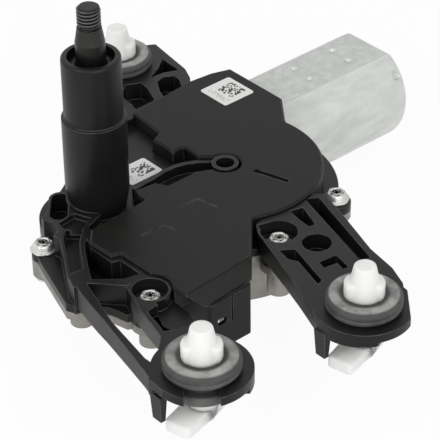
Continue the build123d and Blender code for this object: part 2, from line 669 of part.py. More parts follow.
core_start_x = can_start_x + 18.4
core_end_x = can_end_x - 13.3
for name, middle in (("magnet_near", 180.0), ("magnet_far", 0.0)):
    with BuildPart() as magnet:
        with BuildSketch(Plane.YZ.offset(core_start_x - 4.0)):
            with Locations((motor_y, motor_z)):
                Circle(can_radius - can_wall - 0.1)
                Circle(core_radius + magnet_gap, mode=Mode.SUBTRACT)
                with Locations(Location((0, 0, 0), (0, 0, middle))):
                    Rectangle(60.0, 27.0, align=(Align.MIN, Align.CENTER), mode=Mode.INTERSECT)
        extrude(amount=core_end_x - core_start_x + 8.0)
    save(magnet.part, name)

# magnet clips fill the spaces between the two magnets
with BuildPart() as magnet_clips:
    with BuildSketch(Plane.YZ.offset(core_start_x)):
        with Locations(*[(motor_y, motor_z + side * (can_flat - can_wall - 0.6)) for side in (-1, 1)]):
            Rectangle(16.0, 1.0)
    extrude(amount=core_end_x - core_start_x)
save(magnet_clips.part, "magnet_clips")

end_bush_length = 5.0
with BuildPart() as end_bush:
    with BuildSketch(Plane.YZ.offset(can_end_x + end_cup_height - can_wall - 0.2 - end_bush_length)):
        with Locations((motor_y, motor_z)):
            Circle(end_cup_radius - can_wall - seat_gap)
            Circle(armature_shaft_radius + running_clearance, mode=Mode.SUBTRACT)
    extrude(amount=end_bush_length)
save(end_bush.part, "end_bush")

with BuildPart() as front_bush:
    with BuildSketch(Plane.YZ.offset(66.0)):
        with Locations((motor_y, motor_z)):
            Circle(tunnel_radius - 0.05)
            Circle(armature_shaft_radius + running_clearance, mode=Mode.SUBTRACT)
    extrude(amount=8.0)
save(front_bush.part, "front_bush")

brush_plate_x = can_start_x + 0.8
commutator_radius = 6.6
with BuildPart() as brush_plate:
    with BuildSketch(Plane.YZ.offset(brush_plate_x)):
        motor_section(can_radius - can_wall - 0.1, can_flat - can_wall - 0.1)
        with Locations((motor_y, motor_z)):
            Circle(8.6, mode=Mode.SUBTRACT)
    extrude(amount=1.8)
    for side in (-1, 1):
        with BuildSketch(Plane.XZ.offset(-motor_y - side * 8.2)):
            with Locations((brush_plate_x + 5.6, motor_z)):
                Rectangle(7.6, 6.4)
                Rectangle(5.2, 4.2, mode=Mode.SUBTRACT)
        extrude(amount=-side * 9.0)
save(brush_plate.part, "brush_plate")

for name, side in (("brush_near", -1), ("brush_far", 1)):
    with BuildPart() as brush:
        with BuildSketch(Plane.XZ.offset(-motor_y - side * (commutator_radius + 0.1))):
            with Locations((brush_plate_x + 5.6, motor_z)):
                Rectangle(5.0, 4.0)
        extrude(amount=-side * 7.0)
    save(brush.part, name)

with BuildPart() as brush_springs:
    for side in (-1, 1):
        with BuildSketch(Plane.XZ.offset(-motor_y - side * (commutator_radius + 7.2))):
            with Locations((brush_plate_x + 5.6, motor_z)):
                Circle(1.8)
                Circle(1.2, mode=Mode.SUBTRACT)
        extrude(amount=-side * 3.3)
save(brush_springs.part, "brush_springs")


# ================================================================ armature
commutator_start_x = brush_plate_x + 2.2
commutator_length = 8.0
shaft_start_x = tunnel_start_x + 4.5
shaft_end_x = can_end_x + 0.5
worm_start_x = wheel_x - 2.25 * worm_pitch
worm_root_radius = worm_pitch_radius - 1.3 * worm_module
worm_tip_radius = worm_pitch_radius + 0.8 * worm_module
thread_half = 0.62
with BuildPart() as armature_shaft:
    with BuildSketch(Plane.YZ.offset(shaft_start_x)):
        with Locations((motor_y, motor_z)):
            Circle(armature_shaft_radius)
    extrude(amount=shaft_end_x - shaft_start_x)
    worm_start = (worm_start_x, motor_y, motor_z)
    with BuildLine() as worm_path:
        Helix(pitch=worm_pitch, height=worm_length, radius=worm_root_radius - 0.15,
              center=worm_start, direction=(1, 0, 0))
    thread_start = worm_path.line @ 0
    outward = thread_start - Vector(worm_start)
    with BuildSketch(Plane(origin=thread_start, x_dir=outward, z_dir=worm_path.line % 0)):
        tall = worm_tip_radius - worm_root_radius + 0.15
        Polygon((0, -thread_half - 0.5), (tall, -thread_half + 0.28), (tall, thread_half - 0.28),
                (0, thread_half + 0.5), align=None)
    sweep(path=worm_path.line, is_frenet=True)
save(armature_shaft.part, "armature_shaft")

shaft_seat = armature_shaft_radius + 0.02
with BuildPart() as commutator:
    with BuildSketch(Plane.YZ.offset(commutator_start_x)):
        with Locations((motor_y, motor_z)):
            Circle(commutator_radius)
            Circle(shaft_seat, mode=Mode.SUBTRACT)
    extrude(amount=commutator_length)
    with BuildSketch(Plane.YZ.offset(commutator_start_x)):
        with Locations((motor_y, motor_z)):
            with PolarLocations(commutator_radius, 10):
                Rectangle(1.2, 0.5)
    extrude(amount=commutator_length - 1.0, mode=Mode.SUBTRACT)
save(commutator.part, "commutator")

with BuildPart() as armature_core:
    with BuildSketch(Plane.YZ.offset(core_start_x)):
        with Locations((motor_y, motor_z)):
            Circle(core_radius)
            Circle(shaft_seat, mode=Mode.SUBTRACT)
            with PolarLocations(core_radius - 3.2, 10):
                Rectangle(5.2, 3.4, mode=Mode.SUBTRACT)
            with PolarLocations(core_radius, 10):
                Rectangle(3.0, 1.4, mode=Mode.SUBTRACT)
    extrude(amount=core_end_x - core_start_x)
save(armature_core.part, "armature_core")

with BuildPart() as armature_winding:
    for start_x, length in ((core_start_x - 5.0, 5.0), (core_end_x, 5.0)):
        with BuildSketch(Plane.YZ.offset(start_x)):
            with Locations((motor_y, motor_z)):
                Circle(core_radius - 1.4)
                Circle(armature_shaft_radius + 1.6, mode=Mode.SUBTRACT)
        extrude(amount=length)
save(armature_winding.part, "armature_winding")


# ================================================================ worm wheel and drive sector
wheel_plane_twist = degrees(wheel_face / (2 * pi * worm_pitch_radius / worm_pitch) / wheel_radius)
wheel_bore = wheel_pin_radius + running_clearance
# a tooth space faces the worm, whose thread passes the wheel after two and a quarter turns
wheel_phase = 90.0 + 180.0 / wheel_teeth
with BuildPart() as worm_wheel:
    for level, turn in ((0.0, -wheel_plane_twist / 2), (wheel_face, wheel_plane_twist / 2)):
        with BuildSketch(Plane.XY.offset(wheel_z + level)):
            teeth = involute_gear(worm_module, wheel_teeth, backlash=0.75, tip_factor=0.8, root_factor=1.3,
                                  flank_steps=1)
            Polygon(*turned(teeth, wheel_phase + turn, (wheel_x, wheel_y)), align=None)
    loft(ruled=True)
    with BuildSketch(Plane.XY.offset(wheel_z + wheel_face)):
        with Locations((wheel_x, wheel_y)):
            Circle(wheel_radius - 3.6)
            Circle(hub_radius, mode=Mode.SUBTRACT)
    extrude(amount=-2.2, mode=Mode.SUBTRACT)
    with BuildSketch(Plane.XY.offset(wheel_z)):
        with Locations((wheel_x, wheel_y)):
            Circle(wheel_radius - 3.6)
            Circle(hub_radius, mode=Mode.SUBTRACT)
    extrude(amount=2.2, mode=Mode.SUBTRACT)
    with BuildSketch(Plane.XY.offset(wheel_z)):
        with Locations((wheel_x, wheel_y)):
            Circle(wheel_bore)
    extrude(amount=wheel_face, mode=Mode.SUBTRACT)
save(worm_wheel.part, "worm_wheel")

to_output = degrees(atan2(-wheel_y, -wheel_x))
sector_half = 50.0          # half of the sector's angle, in degrees
sector_reach = 60.0
sector_corner = (sector_reach * cos(radians(sector_half)), sector_reach * sin(radians(sector_half)))
with BuildPart() as drive_sector:
    with BuildSketch(Plane.XY.offset(sector_z)):
        teeth = involute_gear(sector_module, sector_teeth, backlash=0.35)
        Polygon(*turned(teeth, to_output, (wheel_x, wheel_y)), align=None)
        with Locations(Location((wheel_x, wheel_y, 0), (0, 0, to_output))):
            Polygon((0, 0), sector_corner, (-sector_reach, sector_reach), (-sector_reach, -sector_reach),
                    (sector_corner[0], -sector_corner[1]), align=None, mode=Mode.SUBTRACT)
        with Locations((wheel_x, wheel_y)):
            Circle(hub_radius)
            Circle(wheel_bore, mode=Mode.SUBTRACT)
    extrude(amount=sector_face)
    with BuildSketch(Plane.XY.offset(wheel_z + wheel_face)):
        with Locations((wheel_x, wheel_y)):
            Circle(hub_radius)
            Circle(wheel_bore, mode=Mode.SUBTRACT)
    extrude(amount=sector_gap)
save(drive_sector.part, "drive_sector")

with BuildPart() as wheel_pin:
    with BuildSketch(Plane.XY.offset(housing_floor_z + 1.2)):
        with Locations((wheel_x, wheel_y)):
            Circle(wheel_pin_radius)
    extrude(amount=sector_z + sector_face + 3.0 - housing_floor_z)
    chamfer(wheel_pin.faces().sort_by(Axis.Z)[-1].edges(), 0.5)
save(wheel_pin.part, "wheel_pin")


# ================================================================ output shaft
clip_z = tower_rim_z - rim_recess + 0.1
with BuildPart() as output_gear:
    with BuildSketch(Plane.XY.offset(sector_z)):
        teeth = involute_gear(sector_module, pinion_teeth, backlash=0.35)
        Polygon(*turned(teeth, wheel_direction + 180.0 / pinion_teeth), align=None)
        Circle(shaft_radius + 0.02, mode=Mode.SUBTRACT)
    extrude(amount=sector_face)
save(output_gear.part, "output_gear")

with BuildPart() as output_shaft:
    with BuildSketch(Plane.XZ):
        with BuildLine():
            Polyline(
                (0, sector_z - 0.6), (shaft_radius, sector_z - 0.6), (shaft_radius, clip_z),
                (shaft_radius - 0.5, clip_z), (shaft_radius - 0.5, clip_z + 0.9), (shaft_radius, clip_z + 0.9),
                (shaft_radius, cone_bottom_z), (thread_radius + 0.1, cone_top_z), (thread_radius - 0.6, cone_top_z),
                (thread_radius - 0.6, thread_bottom_z), (thread_radius, thread_bottom_z),
                (thread_radius, thread_tip_z - thread_chamfer), (thread_radius - thread_chamfer, thread_tip_z),
                (0, thread_tip_z), close=True,
            )
        make_face()
    revolve(axis=Axis.Z)
save(output_shaft.part, "output_shaft")

with BuildPart() as retaining_ring:
    with BuildSketch(Plane.XY.offset(clip_z + 0.05)):
        Circle(shaft_radius + 1.9)
        Circle(shaft_radius - 0.45, mode=Mode.SUBTRACT)
        with Locations((6.0, 0)):
            Rectangle(6.0, 3.0, mode=Mode.SUBTRACT)
    extrude(amount=0.8)
save(retaining_ring.part, "retaining_ring")

for name, bottom_z in (("lower_bush", boss_bottom_z), ("upper_bush", tower_rim_z - rim_recess - bush_length)):
    with BuildPart() as bush:
        with BuildSketch(Plane.XY.offset(bottom_z)):
            Circle(bush_radius)
            Circle(bore_radius, mode=Mode.SUBTRACT)
        extrude(amount=bush_length)
    save(bush.part, name)

seal_z = clip_z + 1.0
with BuildPart() as shaft_seal:
    for outer_radius, thickness in ((rim_recess_radius - 0.05, 0.7), (shaft_radius + 1.7, 1.5)):
        with BuildSketch(Plane.XY.offset(seal_z)):
            Circle(outer_radius)
            Circle(shaft_radius + 0.3, mode=Mode.SUBTRACT)
        extrude(amount=thickness)
save(shaft_seal.part, "shaft_seal")


# ================================================================ grommets and studs
for side, (x, y) in mounts.items():
    with BuildPart() as grommet:
        with BuildSketch(Plane.XZ.offset(-y)):
            with BuildLine():
                Polyline(
                    (x + stud_radius + seat_gap, -grommet_step), (x + stud_body_radius + 0.8, -grommet_step),
                    (x + stud_body_radius + 1.0, 0), (x + grommet_radius - 1.2, 0), (x + grommet_radius, -1.1),
                    (x + grommet_radius, -grommet_flange + 0.6), (x + grommet_radius - 0.6, -grommet_flange),
                    (x + grommet_waist_radius, -grommet_flange),
                    (x + grommet_waist_radius, -grommet_flange - grommet_groove),
                    (x + grommet_radius - 0.6, -grommet_flange - grommet_groove),
                    (x + grommet_radius - 0.2, -grommet_height + 1.4), (x + grommet_radius - 1.4, -grommet_height),
                    (x + stud_radius + seat_gap, -grommet_height), close=True,
                )
            make_face()
        revolve(axis=Axis((x, y, 0), (0, 0, 1)))
    save(grommet.part, f"grommet_{side}")

    with BuildPart() as stud:
        with BuildSketch(Plane.XZ.offset(-y)):
            with BuildLine():
                Polyline(
                    (x, stud_bar_z), (x + stud_radius, stud_bar_z), (x + stud_radius, seat_gap - grommet_step),
                    (x + stud_body_radius, seat_gap - grommet_step), (x + stud_body_radius, stud_shoulder_z - 0.5),
                    (x + stud_body_radius - 0.6, stud_shoulder_z), (x + stud_root_radius, stud_shoulder_z),
                    (x + stud_tip_radius + 0.4, stud_top_z - 0.4), (x + stud_tip_radius, stud_top_z),
                    (x, stud_top_z), close=True,
                )
            make_face()
        revolve(axis=Axis((x, y, 0), (0, 0, 1)))
        with BuildSketch(Plane.XY.offset(stud_bar_z)):
            with Locations(Location((x, y, 0), (0, 0, stud_bar_turn))):
                RectangleRounded(stud_bar[0], stud_bar[1], 1.2)
        extrude(amount=stud_bar[2])
        with BuildSketch(Plane.XY.offset(stud_bar_z)):
            with Locations((x, y)):
                Circle(7.4)
        extrude(amount=-grommet_height - 0.1 - stud_bar_z)
    save(stud.part, f"stud_{side}")


# ================================================================ electronics
board_z = flange_top_z + 2.0
board_outline = [
    (-2.6, -60.4), (12.0, -59.6), (19.5, -50.5), (25.5, -42.0), (36.0, -42.0), (36.0, -26.0), (20.0, -18.5),
    (-10.0, -18.5), (-13.4, -30.0), (-13.4, -42.0), (-9.6, -46.0), (-9.6, -54.0), (-2.6, -54.0),
]
capacitor_places = [(-5.6, -30.0), (-5.6, -37.5)]
choke_place = (5.0, -35.6)
with BuildPart() as circuit_board:
    with BuildSketch(Plane.XY.offset(board_z)):
        Polygon(*board_outline, align=None)
    extrude(amount=board_thickness)
save(circuit_board.part, "circuit_board")

with BuildPart() as board_capacitors:
    with BuildSketch(Plane.XY.offset(board_z)):
        with Locations(*capacitor_places):
            Circle(3.4)
    extrude(amount=-12.0)
save(board_capacitors.part, "board_capacitors")

with BuildPart() as board_choke:
    with BuildSketch(Plane.XY.offset(board_z)):
        with Locations(choke_place):
            Circle(4.6)
            Circle(1.6, mode=Mode.SUBTRACT)
    extrude(amount=-9.0)
save(board_choke.part, "board_choke")

with BuildPart() as board_chips:
    with BuildSketch(Plane.XY.offset(board_z + board_thickness)):
        with Locations((-5.0, -40.0), (8.0, -28.0)):
            Rectangle(10.0, 10.0)
        with Locations(*[(x, -40.0) for x in (12.0, 20.0, 28.0)]):
            Rectangle(6.0, 7.0)
    extrude(amount=1.6)
save(board_chips.part, "board_chips")

with BuildPart() as terminals:
    with BuildSketch(Plane.XY.offset(board_z)):
        with Locations(*terminal_places):
            Rectangle(2.8, 0.9)
    extrude(amount=-17.5)
save(terminals.part, "terminals")


# ================================================================ fasteners and labels
with BuildPart() as housing_screws:
    for x, y, seat_z in screw_places.values():
        with BuildSketch(Plane.XY.offset(seat_z)):
            with Locations((x, y)):
                Circle(screw_head_radius)
        extrude(amount=screw_head)
        with BuildSketch(Plane.XY.offset(seat_z)):
            with Locations((x, y)):
                Circle(screw_radius)
        extrude(amount=-screw_length)
        with BuildSketch(Plane.XY.offset(seat_z + screw_head)):
            with Locations((x, y)):
                RegularPolygon(1.5, 6)
        extrude(amount=-1.3, mode=Mode.SUBTRACT)
save(housing_screws.part, "housing_screws")

with BuildPart() as motor_screws:
    for place in motor_screw_places:
        with BuildSketch(Plane.YZ.offset(can_start_x + can_wall)):
            with Locations(place):
                Circle(screw_head_radius)
        extrude(amount=screw_head)
        with BuildSketch(Plane.YZ.offset(can_start_x + can_wall)):
            with Locations(place):
                Circle(screw_radius)
        extrude(amount=-7.0)
save(motor_screws.part, "motor_screws")

for name, centre, size, level in (
    ("code_label_cover", (75.2, 19.0), (label_side, label_side), cover_top_z),
    ("code_label_frame", (22.6, 6.4), (label_side, 10.8), floor_top_z),
):
    with BuildPart() as label:
        with BuildSketch(Plane.XY.offset(level)):
            with Locations(centre):
                RectangleRounded(*size, 1.0)
        extrude(amount=label_thickness)
    save(label.part, name)
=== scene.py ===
"""Dresses the rear wiper motor: finishes, cut threads and recesses, and a white studio."""
from __future__ import annotations

import json
import logging
import math
from dataclasses import dataclass
from enum import Enum
from functools import partial
from typing import Callable, Sequence

import bmesh
import bpy
from mathutils import Matrix, Vector


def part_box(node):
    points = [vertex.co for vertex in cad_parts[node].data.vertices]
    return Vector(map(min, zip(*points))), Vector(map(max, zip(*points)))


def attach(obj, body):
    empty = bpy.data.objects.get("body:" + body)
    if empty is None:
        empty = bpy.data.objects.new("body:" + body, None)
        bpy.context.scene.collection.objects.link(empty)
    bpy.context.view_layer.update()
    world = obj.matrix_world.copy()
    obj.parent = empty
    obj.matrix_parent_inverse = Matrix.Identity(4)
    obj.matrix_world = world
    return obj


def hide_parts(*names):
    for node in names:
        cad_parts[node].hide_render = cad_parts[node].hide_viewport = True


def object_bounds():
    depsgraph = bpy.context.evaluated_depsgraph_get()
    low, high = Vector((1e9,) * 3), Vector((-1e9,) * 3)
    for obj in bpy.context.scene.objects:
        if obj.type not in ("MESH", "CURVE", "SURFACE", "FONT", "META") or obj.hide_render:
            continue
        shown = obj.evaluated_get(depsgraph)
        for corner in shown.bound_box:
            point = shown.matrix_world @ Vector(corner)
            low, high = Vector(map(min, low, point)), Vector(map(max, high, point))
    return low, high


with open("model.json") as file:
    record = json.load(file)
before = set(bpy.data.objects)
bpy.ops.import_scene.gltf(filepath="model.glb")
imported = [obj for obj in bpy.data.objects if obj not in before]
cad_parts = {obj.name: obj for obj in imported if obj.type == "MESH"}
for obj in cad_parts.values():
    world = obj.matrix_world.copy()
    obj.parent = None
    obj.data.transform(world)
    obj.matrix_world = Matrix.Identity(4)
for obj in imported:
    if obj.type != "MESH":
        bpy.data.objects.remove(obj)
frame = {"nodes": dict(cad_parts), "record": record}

LOG = logging.getLogger("wiper_motor")
SOLID_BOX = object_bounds()
MM = 0.001
Colour = tuple[float, float, float]
Point = tuple[float, float, float]
Outline = tuple[tuple[float, float], ...]
UP = Vector((0.0, 0.0, 1.0))


class Op(Enum):
    """Math node operations that a signal uses."""

    ADD = "ADD"
    SUBTRACT = "SUBTRACT"
    MULTIPLY = "MULTIPLY"
    DIVIDE = "DIVIDE"
    MAXIMUM = "MAXIMUM"
    GREATER = "GREATER_THAN"
    LESS = "LESS_THAN"
    ABSOLUTE = "ABSOLUTE"
    FLOOR = "FLOOR"


class Signal:
    """A number over the surface: a node socket with Python's arithmetic."""

    def __init__(self, graph: "Graph", socket: bpy.types.NodeSocket) -> None:
        """Wraps an output socket of a graph."""
        self.graph = graph
        self.socket = socket

    def _with(self, op: Op, first: "Signal | float", second: "Signal | float" = 0.0) -> "Signal":
        """Adds one Math node and returns its result."""
        node = self.graph.node("ShaderNodeMath", {"operation": op.value}, {0: first, 1: second})
        return Signal(self.graph, node.outputs[0])

    def __add__(self, other: "Signal | float") -> "Signal":
        """self + other."""
        return self._with(Op.ADD, self, other)

    __radd__ = __add__

    def __sub__(self, other: "Signal | float") -> "Signal":
        """self - other."""
        return self._with(Op.SUBTRACT, self, other)

    def __rsub__(self, other: float) -> "Signal":
        """other - self."""
        return self._with(Op.SUBTRACT, other, self)

    def __mul__(self, other: "Signal | float") -> "Signal":
        """self * other."""
        return self._with(Op.MULTIPLY, self, other)

    __rmul__ = __mul__

    def __truediv__(self, other: "Signal | float") -> "Signal":
        """self / other."""
        return self._with(Op.DIVIDE, self, other)

    def __gt__(self, other: "Signal | float") -> "Signal":
        """1 where self is above other, else 0."""
        return self._with(Op.GREATER, self, other)

    def __lt__(self, other: "Signal | float") -> "Signal":
        """1 where self is below other, else 0."""
        return self._with(Op.LESS, self, other)

    def __abs__(self) -> "Signal":
        """Absolute value."""
        return self._with(Op.ABSOLUTE, self)

    def floor(self) -> "Signal":
        """Whole number below."""
        return self._with(Op.FLOOR, self)

    def at_least(self, other: "Signal | float") -> "Signal":
        """The larger of the two."""
        return self._with(Op.MAXIMUM, self, other)


Value = Signal | float | int | Colour | tuple | bpy.types.NodeSocket


class Graph:
    """A node tree that nodes are added to, such as the world's."""

    def __init__(self, tree: bpy.types.NodeTree) -> None:
        """Wraps a node tree."""
        self.tree = tree

    def node(self, kind: str, settings: dict, inputs: dict) -> bpy.types.Node:
        """Adds a node.

        Args:
            kind: the node's type.
            settings: attributes to set first; "stops" sets a colour ramp's stops.
            inputs: values or links for its sockets, by name or index.

        Returns:
            The new node.
        """
        node = self.tree.nodes.new(kind)
        for key, value in settings.items():
            if key == "stops":
                self._set_stops(node, value)
            else:
                setattr(node, key, value)
        for key, value in inputs.items():
            self.feed(node.inputs[key], value)
        return node

    def feed(self, socket: bpy.types.NodeSocket, value: Value) -> None:
        """Links or sets one input socket."""
        if isinstance(value, Signal):
            self.tree.links.new(value.socket, socket)
        elif isinstance(value, bpy.types.NodeSocket):
            self.tree.links.new(value, socket)
        elif isinstance(value, tuple) and socket.type == "RGBA" and len(value) == 3:
            socket.default_value = (*value, 1.0)
        else:
            socket.default_value = value

    @staticmethod
    def _set_stops(node: bpy.types.Node, stops: Sequence[tuple[float, float]]) -> None:
        """Sets a colour ramp's stops, each a position and a grey level."""
        ramp = node.color_ramp
        while len(ramp.elements) < len(stops):
            ramp.elements.new(0.5)
        for element, (position, level) in zip(ramp.elements, stops):
            element.position = position
            element.color = (level, level, level, 1.0)

    def ramp(self, signal: Signal, stops: Sequence[tuple[float, float]]) -> Signal:
        """The signal through a colour ramp of grey stops."""
        node = self.node("ShaderNodeValToRGB", {"stops": stops}, {0: signal})
        return Signal(self, node.outputs[0])

    def mix(self, factor: Value, first: Value, second: Value) -> bpy.types.NodeSocket:
        """Mixes two colours."""
        node = self.node("ShaderNodeMix", {"data_type": "RGBA"}, {0: factor, 6: first, 7: second})
        return node.outputs[2]

    def shown(self) -> Signal:
        """1 to camera, glossy and transmission rays, and 0 to the rays that carry light."""
        path = self.node("ShaderNodeLightPath", {}, {})
        seen = Signal(self, path.outputs["Is Camera Ray"])
        for kind in ("Is Glossy Ray", "Is Transmission Ray"):
            seen = seen.at_least(Signal(self, path.outputs[kind]))
        return seen


class Surface(Graph):
    """The node tree of one material, with its Principled shader."""

    def __init__(self, name: str) -> None:
        """Makes a material with that name and an empty tree."""
        self.material = bpy.data.materials.new(name)
        self.material.use_nodes = True
        super().__init__(self.material.node_tree)
        self.tree.nodes.clear()
        self.shader = self.node("ShaderNodeBsdfPrincipled", {}, {})
        self.output = self.node("ShaderNodeOutputMaterial", {}, {"Surface": self.shader.outputs[0]})
        self.place = self.node("ShaderNodeTexCoord", {}, {}).outputs["Object"]

    def noise(self, per_metre: float, detail: float = 4.0, stretch: Point = (1.0, 1.0, 1.0)) -> Signal:
        """Smooth noise from 0 to 1.

        Args:
            per_metre: features in a metre.
            detail: octaves.
            stretch: scale of the coordinates along each axis.

        Returns:
            The noise as a signal.
        """
        mapped = self.node("ShaderNodeMapping", {}, {"Vector": self.place, "Scale": stretch})
        node = self.node("ShaderNodeTexNoise", {}, {
            "Vector": mapped.outputs[0], "Scale": per_metre, "Detail": detail, "Roughness": 0.6})
        return Signal(self, node.outputs[0])

    def cells(self, per_metre: float) -> Signal:
        """Random value per small cell, for cast and sand-blasted skins."""
        node = self.node("ShaderNodeTexVoronoi", {}, {"Vector": self.place, "Scale": per_metre})
        return Signal(self, node.outputs["Distance"])

    def rounded_edges(self, radius: float) -> bpy.types.NodeSocket:
        """A normal that softens every sharp edge over a radius in metres."""
        return self.node("ShaderNodeBevel", {"samples": 6}, {"Radius": radius}).outputs[0]

    def edge_share(self, radius: float) -> Signal:
        """How far a point lies on a sharp edge: 0 on a face to 1 on the edge's line.

        Args:
            radius: reach of the edge in metres.

        Returns:
            The share as a signal.
        """
        facing = self.node("ShaderNodeNewGeometry", {}, {}).outputs["Normal"]
        node = self.node("ShaderNodeVectorMath", {"operation": "DOT_PRODUCT"}, {
            0: self.rounded_edges(radius), 1: facing})
        return self.ramp(1.0 - Signal(self, node.outputs["Value"]), [(0.03, 0.0), (0.22, 1.0)])

    def level_share(self) -> Signal:
        """1 on level faces, such as the can's flats, and 0 on the rest."""
        facing = self.node("ShaderNodeNewGeometry", {}, {}).outputs["Normal"]
        split = self.node("ShaderNodeSeparateXYZ", {}, {0: facing})
        return self.ramp(abs(Signal(self, split.outputs[2])), [(0.94, 0.0), (0.985, 1.0)])

    def attribute(self, name: str) -> Signal:
        """A number stored on the mesh's points; 0 where the mesh has none."""
        node = self.node("ShaderNodeAttribute", {"attribute_name": name}, {})
        return Signal(self, node.outputs["Fac"])

    def bump(self, height: Signal, strength: float, distance: float, edge: float = 0.0) -> None:
        """Feeds a bump to the shader's normal.

        Args:
            height: the height signal.
            strength: strength of the bump.
            distance: height of 1 in metres.
            edge: radius over which edges are softened, or 0.
        """
        inputs = {"Height": height, "Strength": strength, "Distance": distance}
        if edge > 0:
            inputs["Normal"] = self.rounded_edges(edge)
        node = self.node("ShaderNodeBump", {}, inputs)
        self.feed(self.shader.inputs["Normal"], node.outputs[0])

    def set(self, **sockets: Value) -> None:
        """Sets the shader's sockets; an underscore in a name stands for a space."""
        for name, value in sockets.items():
            self.feed(self.shader.inputs[name.replace("_", " ")], value)


# ---------------- finishes
@dataclass(frozen=True)
class MouldedPlastic:
    """Moulded plastic with a fine eroded grain, softer where it is scuffed; a given edge colour paints a
    highlight of lighter grey along its sharp edges.
    """

    name: str
    colour: Colour
    lightened: Colour
    roughness: float = 0.42
    sheen: float = 0.3
    grain: float = 2600.0
    grain_depth: float = 0.00003
    edge: float = 0.0005
    edge_highlight_colour: Colour | None = None

    def build(self) -> bpy.types.Material:
        """Makes the material."""
        graph = Surface(self.name)
        cloud = graph.noise(55.0, 3.0)
        fine = graph.noise(self.grain, 2.0)
        body = graph.mix(graph.ramp(cloud, [(0.35, 0.0), (0.75, 1.0)]), self.colour, self.lightened)
        if self.edge_highlight_colour is not None:
            # Painted highlight: a lighter edge colour along sharp edges, broken into patches.
            patches = graph.ramp(graph.noise(210.0, 3.0), [(0.36, 0.25), (0.60, 1.0)])
            body = graph.mix(graph.edge_share(self.edge) * patches, body, self.edge_highlight_colour)
        graph.set(
            Base_Color=body,
            Roughness=self.roughness + 0.10 * (cloud - 0.5) + 0.06 * (fine - 0.5),
            Specular_IOR_Level=self.sheen,
        )
        graph.bump(fine, 0.35, self.grain_depth, self.edge)
        return graph.material


@dataclass(frozen=True)
class MouldedRubber:
    """Matt rubber with a dusty, whitish film, and a painted highlight where its mesh marks one."""

    name: str
    colour: Colour
    bloom_and_highlight: Colour
    roughness: float = 0.62

    def build(self) -> bpy.types.Material:
        """Makes the material."""
        graph = Surface(self.name)
        cloud = graph.noise(160.0, 5.0)
        fine = graph.noise(1800.0, 3.0)
        dusty = graph.ramp(cloud, [(0.36, 0.0), (0.68, 1.0)])
        # A faint dusty film everywhere, plus a painted highlight where the mesh marks the lit top band.
        share = dusty * 0.07 + graph.attribute("painted_highlight") * (0.34 + 0.50 * dusty)
        graph.set(
            Base_Color=graph.mix(share, self.colour, self.bloom_and_highlight),
            Roughness=self.roughness + 0.15 * (cloud - 0.5),
        )
        graph.bump(cloud * 0.5 + fine * 0.5, 0.4, 0.00005, 0.0007)
        return graph.material


@dataclass(frozen=True)
class Metal:
    """Bare or plated metal with grain along one direction; it can paint a highlight of lighter colour on its
    sharp edges and marked points, and painted shade broken into smudges on its level faces.
    """

    name: str
    colour: Colour
    shade: Colour
    metallic: float = 1.0
    roughness: float = 0.35
    grain: float = 900.0
    stretch: Point = (1.0, 1.0, 1.0)
    depth: float = 0.00002
    edge: float = 0.0004
    edge_highlight_colour: Colour | None = None
    cloud: float = 70.0
    streak: Point = (1.0, 1.0, 1.0)
    flat_smudge_and_shade: Colour | None = None

    def build(self) -> bpy.types.Material:
        """Makes the material."""
        graph = Surface(self.name)
        cloud = graph.noise(self.cloud, 5.0, self.streak)
        grain = graph.noise(self.grain, 4.0, self.stretch)
        body = graph.mix(graph.ramp(cloud, [(0.38, 0.0), (0.72, 1.0)]), self.colour, self.shade)
        # Painted shade: level faces, the can's flats, are mixed towards a darker colour, broken into
        # smudges.
        if self.flat_smudge_and_shade is not None:
            smudges = graph.ramp(graph.noise(self.cloud * 1.6, 5.0), [(0.40, 0.35), (0.62, 1.0)])
            body = graph.mix(graph.level_share() * smudges, body, self.flat_smudge_and_shade)
        # Painted highlight: a lighter colour on sharp edges and on points the mesh marks.
        if self.edge_highlight_colour is not None:
            lightened = graph.edge_share(self.edge).at_least(graph.attribute("painted_highlight"))
            body = graph.mix(lightened, body, self.edge_highlight_colour)
        graph.set(
            Base_Color=body,
            Metallic=self.metallic,
            Roughness=self.roughness + 0.14 * (grain - 0.5) + 0.08 * (cloud - 0.5),
        )
        graph.bump(grain, 0.35, self.depth, self.edge)
        return graph.material


@dataclass(frozen=True)
class CastAlloy:
    """Raw die-cast skin: mottled, slightly pitted."""

    name: str
    colour: Colour
    stain: Colour

    def build(self) -> bpy.types.Material:
        """Makes the material."""
        graph = Surface(self.name)
        cloud = graph.noise(120.0, 6.0)
        pits = graph.cells(900.0)
        graph.set(
            Base_Color=graph.mix(graph.ramp(cloud, [(0.32, 0.0), (0.68, 1.0)]), self.colour, self.stain),
            Metallic=0.75,
            Roughness=0.50 + 0.2 * (cloud - 0.5),
        )
        graph.bump(pits * 0.6 + cloud, 0.5, 0.00008, 0.0006)
        return graph.material


@dataclass(frozen=True)
class MilkyPlastic:
    """Translucent white polyamide."""

    name: str
    colour: Colour
    warmth: Colour = (0.985, 0.98, 0.96)
    scatter: float = 0.85
    reach: Point = (0.004, 0.004, 0.004)
    reach_scale: float = 1.6

    def build(self) -> bpy.types.Material:
        """Makes the material."""
        graph = Surface(self.name)
        cloud = graph.noise(90.0, 3.0)
        warm = tuple(c * w for c, w in zip(self.colour, self.warmth))
        graph.set(
            Base_Color=graph.mix(cloud, self.colour, warm),
            Roughness=0.38 + 0.10 * cloud,
            Subsurface_Weight=self.scatter,
            Subsurface_Radius=self.reach,
            Subsurface_Scale=self.reach_scale,
            Coat_Weight=0.15,
        )
        graph.bump(cloud, 0.2, 0.00006, 0.0005)
        return graph.material


